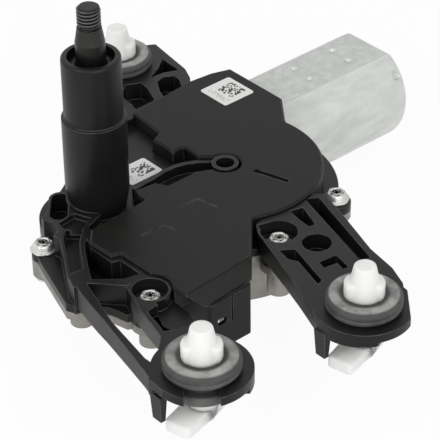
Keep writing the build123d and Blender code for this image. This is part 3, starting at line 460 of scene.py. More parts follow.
@dataclass(frozen=True)
class DotLabel:
    """White film with a generic random dot field and a strip of plain dashes beside it."""

    name: str
    low: Point
    high: Point
    dots: int = 14
    square_place: tuple[float, float] = (0.36, 0.20)
    square_size: tuple[float, float] = (0.53, 0.56)
    square_seed: float = 7.0
    dash_rows: int = 4
    dashes: int = 30
    dash_gap: float = 0.42
    strip_place: tuple[float, float] = (0.11, 0.12)
    strip_size: tuple[float, float] = (0.15, 0.74)
    strip_seed: float = 3.0
    strip_ink: float = 0.6
    paper: Colour = (0.86, 0.86, 0.845)
    ink: Colour = (0.03, 0.03, 0.03)

    def field(
        self, graph: Surface, across: Signal, along: Signal, counts: tuple[int, int], seed: float
    ) -> Signal:
        """Random dark cells in the unit square.

        Args:
            graph: the material's graph.
            across: first coordinate, 0 to 1 inside the field.
            along: second coordinate, 0 to 1 inside the field.
            counts: cells along each coordinate.
            seed: another number gives another field.

        Returns:
            1 on dark cells, else 0.
        """
        column = (across * counts[0]).floor()
        row = (along * counts[1]).floor()
        cell = graph.node("ShaderNodeCombineXYZ", {}, {0: column, 1: row, 2: seed})
        chance = graph.node("ShaderNodeTexWhiteNoise", {}, {"Vector": cell.outputs[0]})
        dark = Signal(graph, chance.outputs["Value"]) > 0.5
        return dark * (across > 0.0) * (across < 1.0) * (along > 0.0) * (along < 1.0)

    def build(self) -> bpy.types.Material:
        """Makes the material."""
        graph = Surface(self.name)
        split = graph.node("ShaderNodeSeparateXYZ", {}, {0: graph.place})
        across = (Signal(graph, split.outputs[0]) - self.low[0]) / (self.high[0] - self.low[0])
        along = (Signal(graph, split.outputs[1]) - self.low[1]) / (self.high[1] - self.low[1])
        column = (across - self.square_place[0]) / self.square_size[0]
        row = (along - self.square_place[1]) / self.square_size[1]
        square = self.field(graph, column, row, (self.dots, self.dots), self.square_seed)
        column = (across - self.strip_place[0]) / self.strip_size[0]
        row = (along - self.strip_place[1]) / self.strip_size[1]
        strip = self.field(graph, column, row, (self.dash_rows, self.dashes), self.strip_seed)
        strip = strip * (column * self.dash_rows - (column * self.dash_rows).floor() > self.dash_gap)
        fibre = graph.noise(300.0, 3.0)
        graph.set(
            Base_Color=graph.mix(square.at_least(strip * self.strip_ink), self.paper, self.ink),
            Roughness=0.38 + 0.1 * fibre,
        )
        graph.bump(fibre, 0.15, 0.00003)
        return graph.material


# Lighter grey painted along sharp edges of the black plastics: a painted highlight.
EDGE_HIGHLIGHT_GREY = (0.16, 0.16, 0.15)
BLACK_FRAME = MouldedPlastic(
    "frame_plastic_look", (0.006, 0.006, 0.0056), (0.010, 0.010, 0.0094), 0.39, 0.25, edge_highlight_colour=EDGE_HIGHLIGHT_GREY)
BLACK_COVER = MouldedPlastic(
    "cover_plastic_look", (0.008, 0.008, 0.0075), (0.012, 0.012, 0.011), 0.44, 0.16, edge_highlight_colour=EDGE_HIGHLIGHT_GREY)
INNER_BLACK = MouldedPlastic("inner_plastic_look", (0.02, 0.02, 0.02), (0.035, 0.034, 0.033), 0.5)
# The grommet's lighter colour is a dusty film, and on its marked top band a painted highlight.
GROMMET_RUBBER = MouldedRubber("grommet_rubber_look", (0.036, 0.036, 0.035), (0.48, 0.48, 0.465))
SEAL_RUBBER = MouldedRubber("seal_rubber_look", (0.012, 0.012, 0.012), (0.02, 0.02, 0.02), 0.55)
# The can's lighter edge colour is a painted highlight; its darker flat colour is painted shade with smudges.
CAN_STEEL = Metal(
    "can_steel_look", (0.71, 0.725, 0.70), (0.56, 0.575, 0.555), 0.22, 0.36, 500.0, (0.15, 1.0, 1.0),
    edge_highlight_colour=(0.90, 0.92, 0.89), cloud=190.0, streak=(0.35, 1.0, 1.0), flat_smudge_and_shade=(0.54, 0.555, 0.54))
BRIGHT_STEEL = Metal("bright_steel_look", (0.70, 0.70, 0.68), (0.52, 0.52, 0.51), 0.7, 0.34, 1400.0)
# The dark steel's lighter edge colour paints a highlight on the spindle's edges, thread crests and cone
# ribs.
DARK_STEEL = Metal(
    "dark_steel_look", (0.013, 0.013, 0.0125), (0.028, 0.028, 0.0265), 0.75, 0.34, 1500.0,
    edge=0.00025, edge_highlight_colour=(0.16, 0.16, 0.155))
SINTERED = Metal("sintered_steel_look", (0.28, 0.28, 0.29), (0.20, 0.20, 0.21), 0.9, 0.5, 1800.0)
BRONZE = Metal("bronze_look", (0.50, 0.36, 0.20), (0.40, 0.28, 0.15), 1.0, 0.42, 1500.0)
COPPER = Metal("copper_look", (0.70, 0.34, 0.18), (0.58, 0.27, 0.14), 1.0, 0.35, 1200.0)
ALLOY = CastAlloy("cast_alloy_look", (0.34, 0.325, 0.30), (0.25, 0.24, 0.22))
MILKY = MilkyPlastic("stud_plastic_look", (0.885, 0.885, 0.87))
GEAR_WHITE = MouldedPlastic("gear_plastic_look", (0.70, 0.67, 0.58), (0.62, 0.59, 0.50), 0.4)
LAMINATE = MouldedPlastic("board_look", (0.02, 0.11, 0.05), (0.03, 0.14, 0.06), 0.35)
CARBON = MouldedPlastic("carbon_look", (0.02, 0.02, 0.022), (0.03, 0.03, 0.03), 0.5)

FINISH_OF_SLOT = {
    "frame_plastic": BLACK_FRAME,
    "cover_plastic": BLACK_COVER,
    "cast_alloy": ALLOY,
    "can_steel": CAN_STEEL,
    "ferrite": CARBON,
    "spring_steel": BRIGHT_STEEL,
    "sintered_bronze": BRONZE,
    "inner_plastic": INNER_BLACK,
    "carbon": CARBON,
    "bright_steel": BRIGHT_STEEL,
    "seal_rubber": SEAL_RUBBER,
    "grommet_rubber": GROMMET_RUBBER,
    "stud_plastic": MILKY,
    "board_laminate": LAMINATE,
    "part_black": INNER_BLACK,
    "terminal_tin": BRIGHT_STEEL,
    "copper": COPPER,
    "lamination": SINTERED,
    "gear_plastic": GEAR_WHITE,
    "sintered_steel": SINTERED,
    "dark_steel": DARK_STEEL,
}


class MeshMaker:
    """Helpers that turn profiles and points into mesh objects."""

    @staticmethod
    def link(name: str, mesh: bmesh.types.BMesh) -> bpy.types.Object:
        """Makes a bare object of a bmesh, which is freed, and puts it in the scene."""
        data = bpy.data.meshes.new(name)
        mesh.to_mesh(data)
        mesh.free()
        item = bpy.data.objects.new(name, data)
        bpy.context.scene.collection.objects.link(item)
        return item

    @staticmethod
    def finish(
        name: str, mesh: bmesh.types.BMesh, material: bpy.types.Material, smooth: float = 35.0
    ) -> bpy.types.Object:
        """Makes a shaded object of a bmesh.

        Args:
            name: the object's name.
            mesh: the geometry; it is freed.
            material: its material.
            smooth: largest angle in degrees that is shaded smooth.

        Returns:
            The object, linked to the scene.
        """
        bmesh.ops.recalc_face_normals(mesh, faces=mesh.faces)
        limit = math.radians(smooth)
        for face in mesh.faces:
            face.smooth = True
        for edge in mesh.edges:
            edge.smooth = len(edge.link_faces) == 2 and edge.calc_face_angle(0.0) < limit
        item = MeshMaker.link(name, mesh)
        item.data.materials.append(material)
        return item

    @staticmethod
    def ring(count: int, height: float, radius: Callable[[float], float] | float) -> list[Vector]:
        """A ring of points about +Z.

        Args:
            count: number of points.
            height: their height.
            radius: the radius, or a function that gives it for an angle.

        Returns:
            The points, in order of their angle.
        """
        points = []
        for i in range(count):
            angle = 2 * math.pi * i / count
            reach = radius(angle) if callable(radius) else radius
            points.append(Vector((reach * math.cos(angle), reach * math.sin(angle), height)))
        return points

    @staticmethod
    def grid(mesh: bmesh.types.BMesh, rings: Sequence[Sequence[Point]]) -> None:
        """Joins closed rings of points, one after the other, with quads, and caps both ends."""
        made = [[mesh.verts.new(point) for point in ring] for ring in rings]
        count = len(made[0])
        for low, high in zip(made, made[1:]):
            for i in range(count):
                j = (i + 1) % count
                mesh.faces.new((low[i], low[j], high[j], high[i]))
        mesh.faces.new(made[0])
        mesh.faces.new(list(reversed(made[-1])))

    @staticmethod
    def copy_of(node: str, name: str) -> bpy.types.Object:
        """A bare copy of a node's mesh, closed along its face borders."""
        mesh = bmesh.new()
        mesh.from_mesh(frame["nodes"][node].data)
        bmesh.ops.remove_doubles(mesh, verts=mesh.verts, dist=0.001 * MM)
        return MeshMaker.link(name, mesh)

    @staticmethod
    def round_bends(body: bpy.types.Object, width: float, angle: float) -> None:
        """Rounds every edge of a body that turns by more than an angle."""
        flats = body.modifiers.new("flats", "DECIMATE")
        flats.decimate_type = "DISSOLVE"
        flats.angle_limit = math.radians(0.5)
        bends = body.modifiers.new("bends", "BEVEL")
        bends.width = width
        bends.segments = 4
        bends.limit_method = "ANGLE"
        bends.angle_limit = angle

    @staticmethod
    def prism(mesh: bmesh.types.BMesh, outline: Outline, bottom: float, top: float) -> None:
        """Adds a closed upright prism over an outline, all in millimetres."""
        MeshMaker.grid(mesh, [[(x * MM, y * MM, level * MM) for x, y in outline] for level in (bottom, top)])

    @staticmethod
    def cutter(mesh: bmesh.types.BMesh) -> bpy.types.Object:
        """Makes a closed bmesh a cutter, its faces turned outward."""
        bmesh.ops.recalc_face_normals(mesh, faces=mesh.faces)
        return MeshMaker.link("cutter", mesh)

    @staticmethod
    def dish(place: Vector, outward: Vector, radii: tuple[float, float], depth: float) -> bpy.types.Object:
        """A cutter for a round dish sunk against a direction.

        Args:
            place: middle of the dish on the surface.
            outward: the surface's normal there.
            radii: radius at the surface and at the dish's floor.
            depth: how deep the floor lies.

        Returns:
            The cutter.
        """
        turn = UP.rotation_difference(outward).to_matrix()
        above = 0.8 * MM
        slope = (radii[0] - radii[1]) / depth
        rings = []
        for level, radius in ((-depth, radii[1]), (0.0, radii[0]), (above, radii[0] + slope * above)):
            rings.append([turn @ point + place for point in MeshMaker.ring(32, level, radius)])
        mesh = bmesh.new()
        MeshMaker.grid(mesh, rings)
        return MeshMaker.cutter(mesh)

    @staticmethod
    def cut(body: bpy.types.Object, cutters: Sequence[bpy.types.Object]) -> bmesh.types.BMesh:
        """Takes closed cutters out of a closed body.

        Args:
            body: the body; it is removed.
            cutters: the cutters; they are removed.

        Returns:
            What is left of the body.
        """
        for number, cutter in enumerate(cutters):
            modifier = body.modifiers.new(f"cut_{number}", "BOOLEAN")
            modifier.operation = "DIFFERENCE"
            modifier.solver = "EXACT"
            modifier.object = cutter
        left = bmesh.new()
        left.from_object(body, bpy.context.evaluated_depsgraph_get())
        for item in (body, *cutters):
            bpy.data.objects.remove(item)
        return left


# ---------------- output spindle
@dataclass
class Spindle:
    """The output shaft with its knurled cone and M8 thread."""

    shaft_radius: float = 5.0 * MM
    cone_bottom: float = 55.7 * MM
    cone_top: float = 61.0 * MM
    cone_top_radius: float = 4.1 * MM
    thread_top: float = 68.5 * MM
    thread_radius: float = 4.0 * MM
    thread_depth: float = 0.75 * MM
    tip_round: float = 1.0 * MM
    pitch: float = 1.25 * MM
    knurls: int = 48
    knurl_depth: float = 0.12 * MM
    knurl_fade: float = 6.0
    rib_highlight: float = 0.25
    crest_highlight: float = 0.9
    foot_chamfer: float = 0.4 * MM
    tip_shares: tuple[float, ...] = (0.75, 0.4, 0.12)
    tip_fall: float = 0.02 * MM
    around: int = 144
    cone_rows: int = 12
    rows_per_pitch: int = 10

    def knurl(self, angle: float) -> float:
        """Depth share of the knurl at an angle: 0 on a rib's crest, 1 between two ribs."""
        return abs((angle * self.knurls / (2 * math.pi)) % 1.0 - 0.5) * 2.0

    def radius_at(self, height: float, angle: float) -> float:
        """Radius of the spindle's skin at a height and an angle about its axis."""
        if height <= self.cone_bottom:
            return self.shaft_radius
        if height <= self.cone_top:
            share = (height - self.cone_bottom) / (self.cone_top - self.cone_bottom)
            plain = self.shaft_radius + (self.cone_top_radius - self.shaft_radius) * share
            ends = min(1.0, self.knurl_fade * share, self.knurl_fade * (1.0 - share))
            return plain - self.knurl_depth * self.knurl(angle) * ends
        turn = ((height - self.cone_top) / self.pitch - angle / (2 * math.pi)) % 1.0
        wave = 1.0 - abs(turn - 0.5) * 2.0
        groove = min(1.0, max(0.0, 1.25 * wave - 0.12))
        relief = max(0.0, 1.0 - (height - self.cone_top) / (0.9 * self.pitch))
        tip = max(0.0, height - (self.thread_top - self.tip_round)) / self.tip_round
        radius = self.thread_radius - self.thread_depth * max(groove, min(1.0, 3.0 * relief) * 0.85)
        rounding = 1.0 - math.sqrt(max(0.0, 1.0 - min(1.0, tip) ** 2))
        return min(radius, self.thread_radius - self.tip_round * rounding)

    def highlight_at(self, height: float, angle: float) -> float:
        """How strongly a point gets a painted highlight: the thread's crests and the cone's ribs."""
        if height <= self.cone_bottom:
            return 0.0
        if height <= self.cone_top:
            return self.rib_highlight * (1.0 - self.knurl(angle))
        sunk = (self.thread_radius - self.radius_at(height, angle)) / self.thread_depth
        return self.crest_highlight * max(0.0, 1.0 - 2.2 * sunk)

    def heights(self, bottom: float) -> list[float]:
        """Levels of the rings, from the lower end to the thread's top."""
        step = self.pitch / self.rows_per_pitch
        rows = int((self.thread_top - self.cone_top) / step)
        cone = self.cone_top - self.cone_bottom
        levels = [bottom + self.foot_chamfer, self.cone_bottom - 6.0 * MM, self.cone_bottom - 0.02 * MM]
        levels += [self.cone_bottom + i * cone / self.cone_rows for i in range(self.cone_rows + 1)]
        levels += [self.cone_top + (i + 1) * step for i in range(rows)]
        return [level for level in levels if level < self.thread_top] + [self.thread_top]

    def build(self, shop: "Dresser") -> bpy.types.Object:
        """Makes the spindle from its lower end to its domed tip."""
        low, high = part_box("output_shaft")
        rings = [MeshMaker.ring(self.around, low[2], self.shaft_radius - self.foot_chamfer)]
        for height in self.heights(low[2]):
            rings.append(MeshMaker.ring(self.around, height, partial(self.radius_at, height)))
        top = self.thread_radius - self.tip_round
        for share in self.tip_shares:
            height = min(high[2], self.thread_top) - self.tip_fall * share
            rings.append(MeshMaker.ring(self.around, height, top * share))
        mesh = bmesh.new()
        MeshMaker.grid(mesh, rings)
        # Painted highlight on the thread's crests and the cone's ribs, stored per point.
        highlight_layer = mesh.verts.layers.float.new("painted_highlight")
        for vert in mesh.verts:
            angle = math.atan2(vert.co.y, vert.co.x) % (2 * math.pi)
            if vert.co.xy.length > top:
                vert[highlight_layer] = self.highlight_at(vert.co.z, angle)
        spindle = MeshMaker.finish("spindle", mesh, shop.material("dark_steel"), 50.0)
        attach(spindle, "output")
        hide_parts("output_shaft")
        return spindle


# ---------------- screws
@dataclass
class Screws:
    """Flanged pan-head screws with a star recess, one for each loose patch of a node's mesh."""

    node: str
    axis: Point
    head_radius: float = 3.25 * MM
    head_height: float = 2.9 * MM
    shank_radius: float = 2.0 * MM
    recess_radius: float = 1.55 * MM
    recess_depth: float = 1.3 * MM
    lobes: int = 6
    first_turn: float = 0.5
    next_turn: float = 1.3
    around: int = 96

    def places(self) -> list[tuple[Vector, float]]:
        """Finds a place for each loose patch of the node's mesh.

        The mesh isn't welded, so a solid of several patches gets several screws over one another,
        and their order differs from run to run.

        Returns:
            The middle of each head's seat-side end and the shank's length below it.
        """
        axis = Vector(self.axis)
        mesh = bmesh.new()
        mesh.from_mesh(frame["nodes"][self.node].data)
        waiting = set(mesh.verts)
        found = []
        while waiting:
            island = [waiting.pop()]
            for vert in island:
                near = {edge.other_vert(vert) for edge in vert.link_edges} & waiting
                waiting -= near
                island.extend(near)
            points = [vert.co.copy() for vert in island]
            levels = [point.dot(axis) for point in points]
            low = Vector([min(p[i] for p in points) for i in range(3)])
            high = Vector([max(p[i] for p in points) for i in range(3)])
            middle = (low + high) / 2
            seat = max(levels) - self.head_height
            found.append((middle + axis * (seat - middle.dot(axis)), seat - min(levels)))
        mesh.free()
        return found

    def rings(self, shank: float) -> list[list[Vector]]:
        """Rings of one screw about +Z, from the shank's end over the head and down into the recess."""
        head, height, deep = self.head_radius, self.head_height, self.recess_depth
        profile = [
            (self.shank_radius * 0.72, -shank, 0.0), (self.shank_radius, -shank + 0.6 * MM, 0.0),
            (self.shank_radius, -0.01 * MM, 0.0), (head - 0.25 * MM, 0.0, 0.0),
            (head, 0.22 * MM, 0.0), (head, 0.62 * MM, 0.0),
            (head - 0.25 * MM, 0.86 * MM, 0.0), (head - 0.75 * MM, 1.0 * MM, 0.0),
            (head - 0.95 * MM, 1.5 * MM, 0.0), (head - 1.15 * MM, height - 0.55 * MM, 0.0),
            (head - 1.35 * MM, height - 0.18 * MM, 0.0), (head - 1.55 * MM, height, 0.0),
            (self.recess_radius, height, 0.16),
            (self.recess_radius - 0.06 * MM, height - 0.12 * MM, 0.17),
            (self.recess_radius - 0.10 * MM, height - deep, 0.17),
            (0.25 * MM, height - deep - 0.25 * MM, 0.0),
        ]
        return [
            MeshMaker.ring(self.around, level, partial(self.star_radius, radius, star))
            for radius, level, star in profile]

    def star_radius(self, radius: float, star: float, angle: float) -> float:
        """A radius at an angle, drawn in between the lobes by a share."""
        return radius * (1.0 - star * (0.5 - 0.5 * math.cos(self.lobes * angle)))

    def build(self, shop: "Dresser") -> bpy.types.Object:
        """Makes all screws of the node as one object."""
        turn = UP.rotation_difference(Vector(self.axis)).to_matrix()
        mesh = bmesh.new()
        for number, (seat, shank) in enumerate(self.places()):
            spun = turn @ Matrix.Rotation(self.first_turn + self.next_turn * number, 3, "Z")
            MeshMaker.grid(mesh, [[spun @ point + seat for point in ring] for ring in self.rings(shank)])
        screws = MeshMaker.finish(f"{self.node}_look", mesh, shop.material("bright_steel"), 30.0)
        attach(screws, "housing")
        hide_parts(self.node)
        return screws


# ---------------- frame and can
@dataclass
class FrameMoulding:
    """The carrier frame with its slim left bar and the pocket beside the left screw."""

    bar_side: Outline = (
        (-39.5, -44.3), (-42.0, -56.6), (-45.8, -72.5), (-48.2, -82.2), (-49.3, -86.0), (-56.0, -86.0),
        (-56.0, -44.3))
    bar_bottom: float = -14.0
    pocket: Outline = (
        (-28.4, -60.4), (-29.5, -63.2), (-30.0, -66.6), (-31.4, -71.6), (-27.6, -73.8), (-21.0, -74.4),
        (-21.0, -61.5), (-25.0, -60.0))
    pocket_floor: float = -9.3
    web: Outline = (
        (-27.5, -56.0), (-15.6, -57.0), (-15.6, -66.0), (-18.0, -72.0), (-22.0, -76.5), (-30.0, -76.0))
    web_thickness: float = 1.2
    tube_radius: float = 11.5 * MM
    tube_from: float = 30.0 * MM
    tube_rim: float = 48.85 * MM
    tube_rise: float = 1.4 * MM

    def raise_tube(self, mesh: bmesh.types.BMesh) -> None:
        """Lengthens the tube's mouth."""
        for vert in mesh.verts:
            share = (vert.co.z - self.tube_from) / (self.tube_rim - self.tube_from)
            if share >= 0.0 and math.hypot(vert.co.x, vert.co.y) <= self.tube_radius:
                vert.co.z += self.tube_rise * min(1.0, share)

    def build(self, shop: "Dresser") -> bpy.types.Object:
        """Makes the frame from its solid with the bar slimmed and the pocket sunk down to a thin web."""
        cutters = []
        for outline, bottom in ((self.bar_side, self.bar_bottom), (self.pocket, self.pocket_floor)):
            block = bmesh.new()
            MeshMaker.prism(block, outline, bottom, 0.0)
            cutters.append(MeshMaker.cutter(block))
        mesh = MeshMaker.cut(MeshMaker.copy_of("carrier_frame", "frame_body"), cutters)
        MeshMaker.prism(mesh, self.web, self.pocket_floor - self.web_thickness, self.pocket_floor)
        self.raise_tube(mesh)
        moulding = MeshMaker.finish("carrier_frame_look", mesh, shop.material("frame_plastic"), 28.0)
        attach(moulding, "housing")
        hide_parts("carrier_frame")
        return moulding


@dataclass
class MotorCan:
    """The drawn steel can with its staking dishes, reaching to just inside its end cup."""

    stretch: float = 1.3 * MM
    stretch_from: float = 128.0 * MM
    stretch_to: float = 140.0 * MM
    axis: tuple[float, float] = (16.2 * MM, -27.3 * MM)
    radius: float = 20.7 * MM
    flat: float = 17.8 * MM
    bend: float = 2.0 * MM
    bend_angle: float = math.radians(28.0)
    dishes: Outline = ((129.8, 21.2), (129.3, 11.9), (110.4, 21.2), (109.9, 12.1))
    dish_radii: tuple[float, float] = (1.75 * MM, 1.3 * MM)
    dish_depth: float = 1.0 * MM
    mark_at: float = 141.4 * MM
    mark_angle: float = math.radians(55.0)
    mark_radii: tuple[float, float] = (2.1 * MM, 1.2 * MM)
    mark_depth: float = 1.1 * MM

    def build(self, shop: "Dresser") -> bpy.types.Object:
        """Makes the can from its solid."""
        body = MeshMaker.copy_of("motor_can", "can_body")
        MeshMaker.round_bends(body, self.bend, self.bend_angle)
        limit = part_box("motor_can")[1][0]
        cutters = []
        for x, y in self.dishes:
            place = Vector((x * MM, y * MM, self.axis[1] + self.flat))
            cutters.append(MeshMaker.dish(place, UP, self.dish_radii, self.dish_depth))
        side = Vector((0.0, -math.sin(self.mark_angle), math.cos(self.mark_angle)))
        mark = Vector((self.mark_at, self.axis[0], self.axis[1])) + side * self.radius
        cutters.append(MeshMaker.dish(mark, side, self.mark_radii, self.mark_depth))
        mesh = MeshMaker.cut(body, cutters)
        for vert in mesh.verts:
            share = (vert.co.x - self.stretch_from) / (self.stretch_to - self.stretch_from)
            vert.co.x = min(limit, vert.co.x + self.stretch * min(1.0, max(0.0, share)))
        can = MeshMaker.finish("motor_can_look", mesh, shop.material("can_steel"), 28.0)
        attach(can, "housing")
        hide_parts("motor_can")
        return can


# ---------------- grommets and studs
@dataclass
class Grommet:
    """A rubber grommet: two flanges with a groove between, a painted highlight on its top band, and dished
    round the stud.
    """

    side: str
    bore: float = 4.5 * MM
    radius: float = 12.4 * MM
    waist: float = 8.9 * MM
    flange: float = 4.8 * MM
    groove: float = 3.0 * MM
    height: float = 11.8 * MM
    around: int = 120

    def profile(self) -> list[tuple[float, float, float]]:
        """Radius, height below the top and painted highlight share of each ring, once round the section."""
        rim, low = self.radius, self.flange + self.groove
        return [
            (self.bore, -0.62 * MM, 0.0), (7.0 * MM, -0.62 * MM, 0.0), (7.35 * MM, -0.50 * MM, 0.0),
            (7.9 * MM, -0.22 * MM, 0.2), (8.4 * MM, -0.06 * MM, 0.7), (9.2 * MM, -0.01 * MM, 1.0),
            (10.6 * MM, -0.03 * MM, 1.0), (11.1 * MM, -0.15 * MM, 0.8), (11.4 * MM, -0.36 * MM, 0.1),
            (11.6 * MM, -0.62 * MM, 0.0), (rim - 0.35 * MM, -0.95 * MM, 0.0),
            (rim - 0.05 * MM, -1.5 * MM, 0.0), (rim, -2.3 * MM, 0.05),
            (rim - 0.22 * MM, -2.65 * MM, 0.0), (rim - 0.05 * MM, -3.0 * MM, 0.15),
            (rim - 0.05 * MM, -4.1 * MM, 0.1), (rim - 0.6 * MM, -self.flange, 0.0),
            (self.waist, -self.flange, 0.0), (self.waist, -low, 0.0), (rim - 0.7 * MM, -low, 0.0),
            (rim - 0.2 * MM, -low - 0.6 * MM, 0.1), (rim - 0.25 * MM, -self.height + 1.5 * MM, 0.1),
            (rim - 1.4 * MM, -self.height, 0.0), (self.bore, -self.height, 0.0),
        ]

    def build(self, shop: "Dresser") -> bpy.types.Object:
        """Makes the grommet over its node's box."""
        node = f"grommet_{self.side}"
        low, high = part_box(node)
        middle = Vector(((low[0] + high[0]) / 2, (low[1] + high[1]) / 2, high[2]))
        mesh = bmesh.new()
        # Painted highlight on the top band, stored per point.
        highlight_layer = mesh.verts.layers.float.new("painted_highlight")
        rings = []
        for radius, depth, painted_highlight in self.profile():
            ring = [mesh.verts.new(middle + point) for point in MeshMaker.ring(self.around, depth, radius)]
            for vert in ring:
                vert[highlight_layer] = painted_highlight
            rings.append(ring)
        for ring, after in zip(rings, rings[1:] + rings[:1]):
            for i in range(self.around):
                j = (i + 1) % self.around
                mesh.faces.new((ring[i], ring[j], after[j], after[i]))
        grommet = MeshMaker.finish(f"{node}_look", mesh, shop.material("grommet_rubber"), 50.0)
        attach(grommet, "housing")
        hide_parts(node)
        return grommet


@dataclass
class Stud:
    """A plastic stud: a winged collar with a tapered tip, a neck and a flat crossbar."""

    side: str
    tip_radius: float = 3.5 * MM
    tip_round: float = 0.6 * MM
    foot_radius: float = 6.2 * MM
    wing_radius: float = 6.55 * MM
    shoulder: float = 4.9 * MM
    shoulder_round: float = 1.4 * MM
    wing_turn: float = math.radians(-41.0)
    wing_from: float = 0.62
    wing_fade: float = 0.26
    taper: float = 0.85
    seat: float = -0.5 * MM
    neck_radius: float = 4.3 * MM
    under: float = -11.9 * MM
    under_radius: float = 4.9 * MM
    bar_length: float = 26.4 * MM
    bar_end: float = 8.8 * MM
    bar_middle: float = 9.8 * MM
    bar_shift: float = 0.7 * MM
    bar_thickness: float = 4.4 * MM
    bar_chamfer: float = 0.8 * MM
    bar_edge: float = 0.35 * MM
    bar_turn: float = math.radians(14.0)
    bar_lift: float = 1.2 * MM
    tip_dish: Outline = ((0.74, 0.0), (0.62, 0.45 * MM))
    rows: int = 46
    around: int = 96

    def radius_at(self, height: float, top: float, angle: float) -> float:
        """Radius above the grommet at a height, for a stud's top and an angle about its axis."""
        share = min(1.0, max(0.0, (height - self.seat) / (top - self.seat)))
        cone = self.foot_radius + (self.tip_radius - self.foot_radius) * share ** self.taper
        above = max(0.0, height - (self.shoulder - self.shoulder_round)) / self.shoulder_round
        wing = self.wing_radius * math.sqrt(1.0 - 0.5 * above ** 2.5) if above < 1.0 else cone
        lobe = (abs(math.cos(angle - self.wing_turn)) - self.wing_from) / self.wing_fade
        lobe = min(1.0, max(0.0, lobe))
        lobe = lobe * lobe * (3.0 - 2.0 * lobe)
        radius = cone + (max(cone, wing) - cone) * lobe
        rounding = min(1.0, max(0.0, height - (top - self.tip_round)) / self.tip_round)
        return radius - self.tip_round * (1.0 - math.sqrt(1.0 - rounding ** 2))

    def bar(self, mesh: bmesh.types.BMesh, place: Vector) -> None:
        """Adds the crossbar, a flat plate that narrows to its ends, over a place."""
        half, end, middle = self.bar_length / 2, self.bar_end / 2, self.bar_middle / 2
        side = [(-half, -end + self.bar_chamfer), (-half + self.bar_chamfer, -end), (0.0, -middle),
                (half - self.bar_chamfer, -end), (half, -end + self.bar_chamfer)]
        outline = side + [(-x, -y) for x, y in side]
        turn = Matrix.Rotation(self.bar_turn, 3, "Z")
        levels = ((0.0, self.bar_edge), (self.bar_edge, 0.0),
                  (self.bar_thickness - self.bar_edge, 0.0), (self.bar_thickness, self.bar_edge))
        rings = []
        for level, inset in levels:
            shrink = (1.0 - inset / half, 1.0 - inset / end)
            rings.append([place + turn @ Vector((x * shrink[0], y * shrink[1] + self.bar_shift, level))
                          for x, y in outline])
        MeshMaker.grid(mesh, rings)

    def build(self, shop: "Dresser") -> bpy.types.Object:
        """Makes the stud over its node's box."""
        node = f"stud_{self.side}"
        low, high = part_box(node)
        place = Vector(((low[0] + high[0]) / 2, (low[1] + high[1]) / 2, 0.0))
        top = high[2]
        below = [
            (self.neck_radius * 0.9, low[2] + 0.6 * MM), (self.neck_radius, low[2] + 3.0 * MM),
            (self.neck_radius + 0.5 * MM, self.under - 4.0 * MM),
            (self.under_radius, self.under - 1.6 * MM), (self.under_radius, self.under),
            (self.neck_radius, self.under), (self.neck_radius, self.seat)]
        rings = [MeshMaker.ring(self.around, height, radius) for radius, height in below]
        for row in range(self.rows + 1):
            height = self.seat + (top - self.seat) * row / self.rows
            rings.append(MeshMaker.ring(self.around, height, partial(self.radius_at, height, top)))
        for share, sink in self.tip_dish:
            rings.append(MeshMaker.ring(self.around, top - sink, self.tip_radius * share))
        mesh = bmesh.new()
        MeshMaker.grid(mesh, [[place + point for point in ring] for ring in rings])
        self.bar(mesh, place + UP * (low[2] + self.bar_lift))
        stud = MeshMaker.finish(f"{node}_look", mesh, shop.material("stud_plastic"), 40.0)
        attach(stud, "housing")
        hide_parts(node)
        return stud


# ---------------- carried-over pieces
DOTS_OF_LABEL = {"code_label_frame": 10}


class Dresser:
    """Gives every node of the solid model its finish."""

    def __init__(self) -> None:
        """Starts with no built materials."""
        self.materials: dict[str, bpy.types.Material] = {}

    def material(self, slot: str) -> bpy.types.Material:
        """The material of a slot, built once."""
        if slot not in self.materials:
            self.materials[slot] = FINISH_OF_SLOT[slot].build()
        return self.materials[slot]

    def dress(self) -> None:
        """Assigns a material to each node by its slot in the record."""
        for entry in frame["record"]["subparts"]:
            node, slot = entry["node"], entry["material_slot"]
            item = frame["nodes"][node]
            material = self.label(node) if slot == "label_film" else self.material(slot)
            item.data.materials.clear()
            item.data.materials.append(material)
            LOG.info("dressed %s with %s", node, material.name)

    @staticmethod
    def label(node: str) -> bpy.types.Material:
        """A dot label's material, laid out over its node's box."""
        low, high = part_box(node)
        dots = DOTS_OF_LABEL.get(node, DotLabel.dots)
        return DotLabel(f"{node}_look", tuple(low), tuple(high), dots).build()


# ---------------- studio
@dataclass(frozen=True)
class Lamp:
    """A round area lamp aimed at the object's middle."""

    name: str
    place: Point
    power: float
    size: float = 0.8
    target: Point = (0.03, -0.02, 0.0)

    def build(self) -> bpy.types.Object:
        """Hangs the lamp."""
        data = bpy.data.lights.new(self.name, "AREA")
        data.shape = "DISK"
        data.size = self.size
        data.energy = self.power
        item = bpy.data.objects.new(self.name, data)
        item.location = self.place
        aim = Vector(self.target) - Vector(self.place)
        item.rotation_euler = aim.to_track_quat("-Z", "Y").to_euler()
        bpy.context.scene.collection.objects.link(item)
        return item


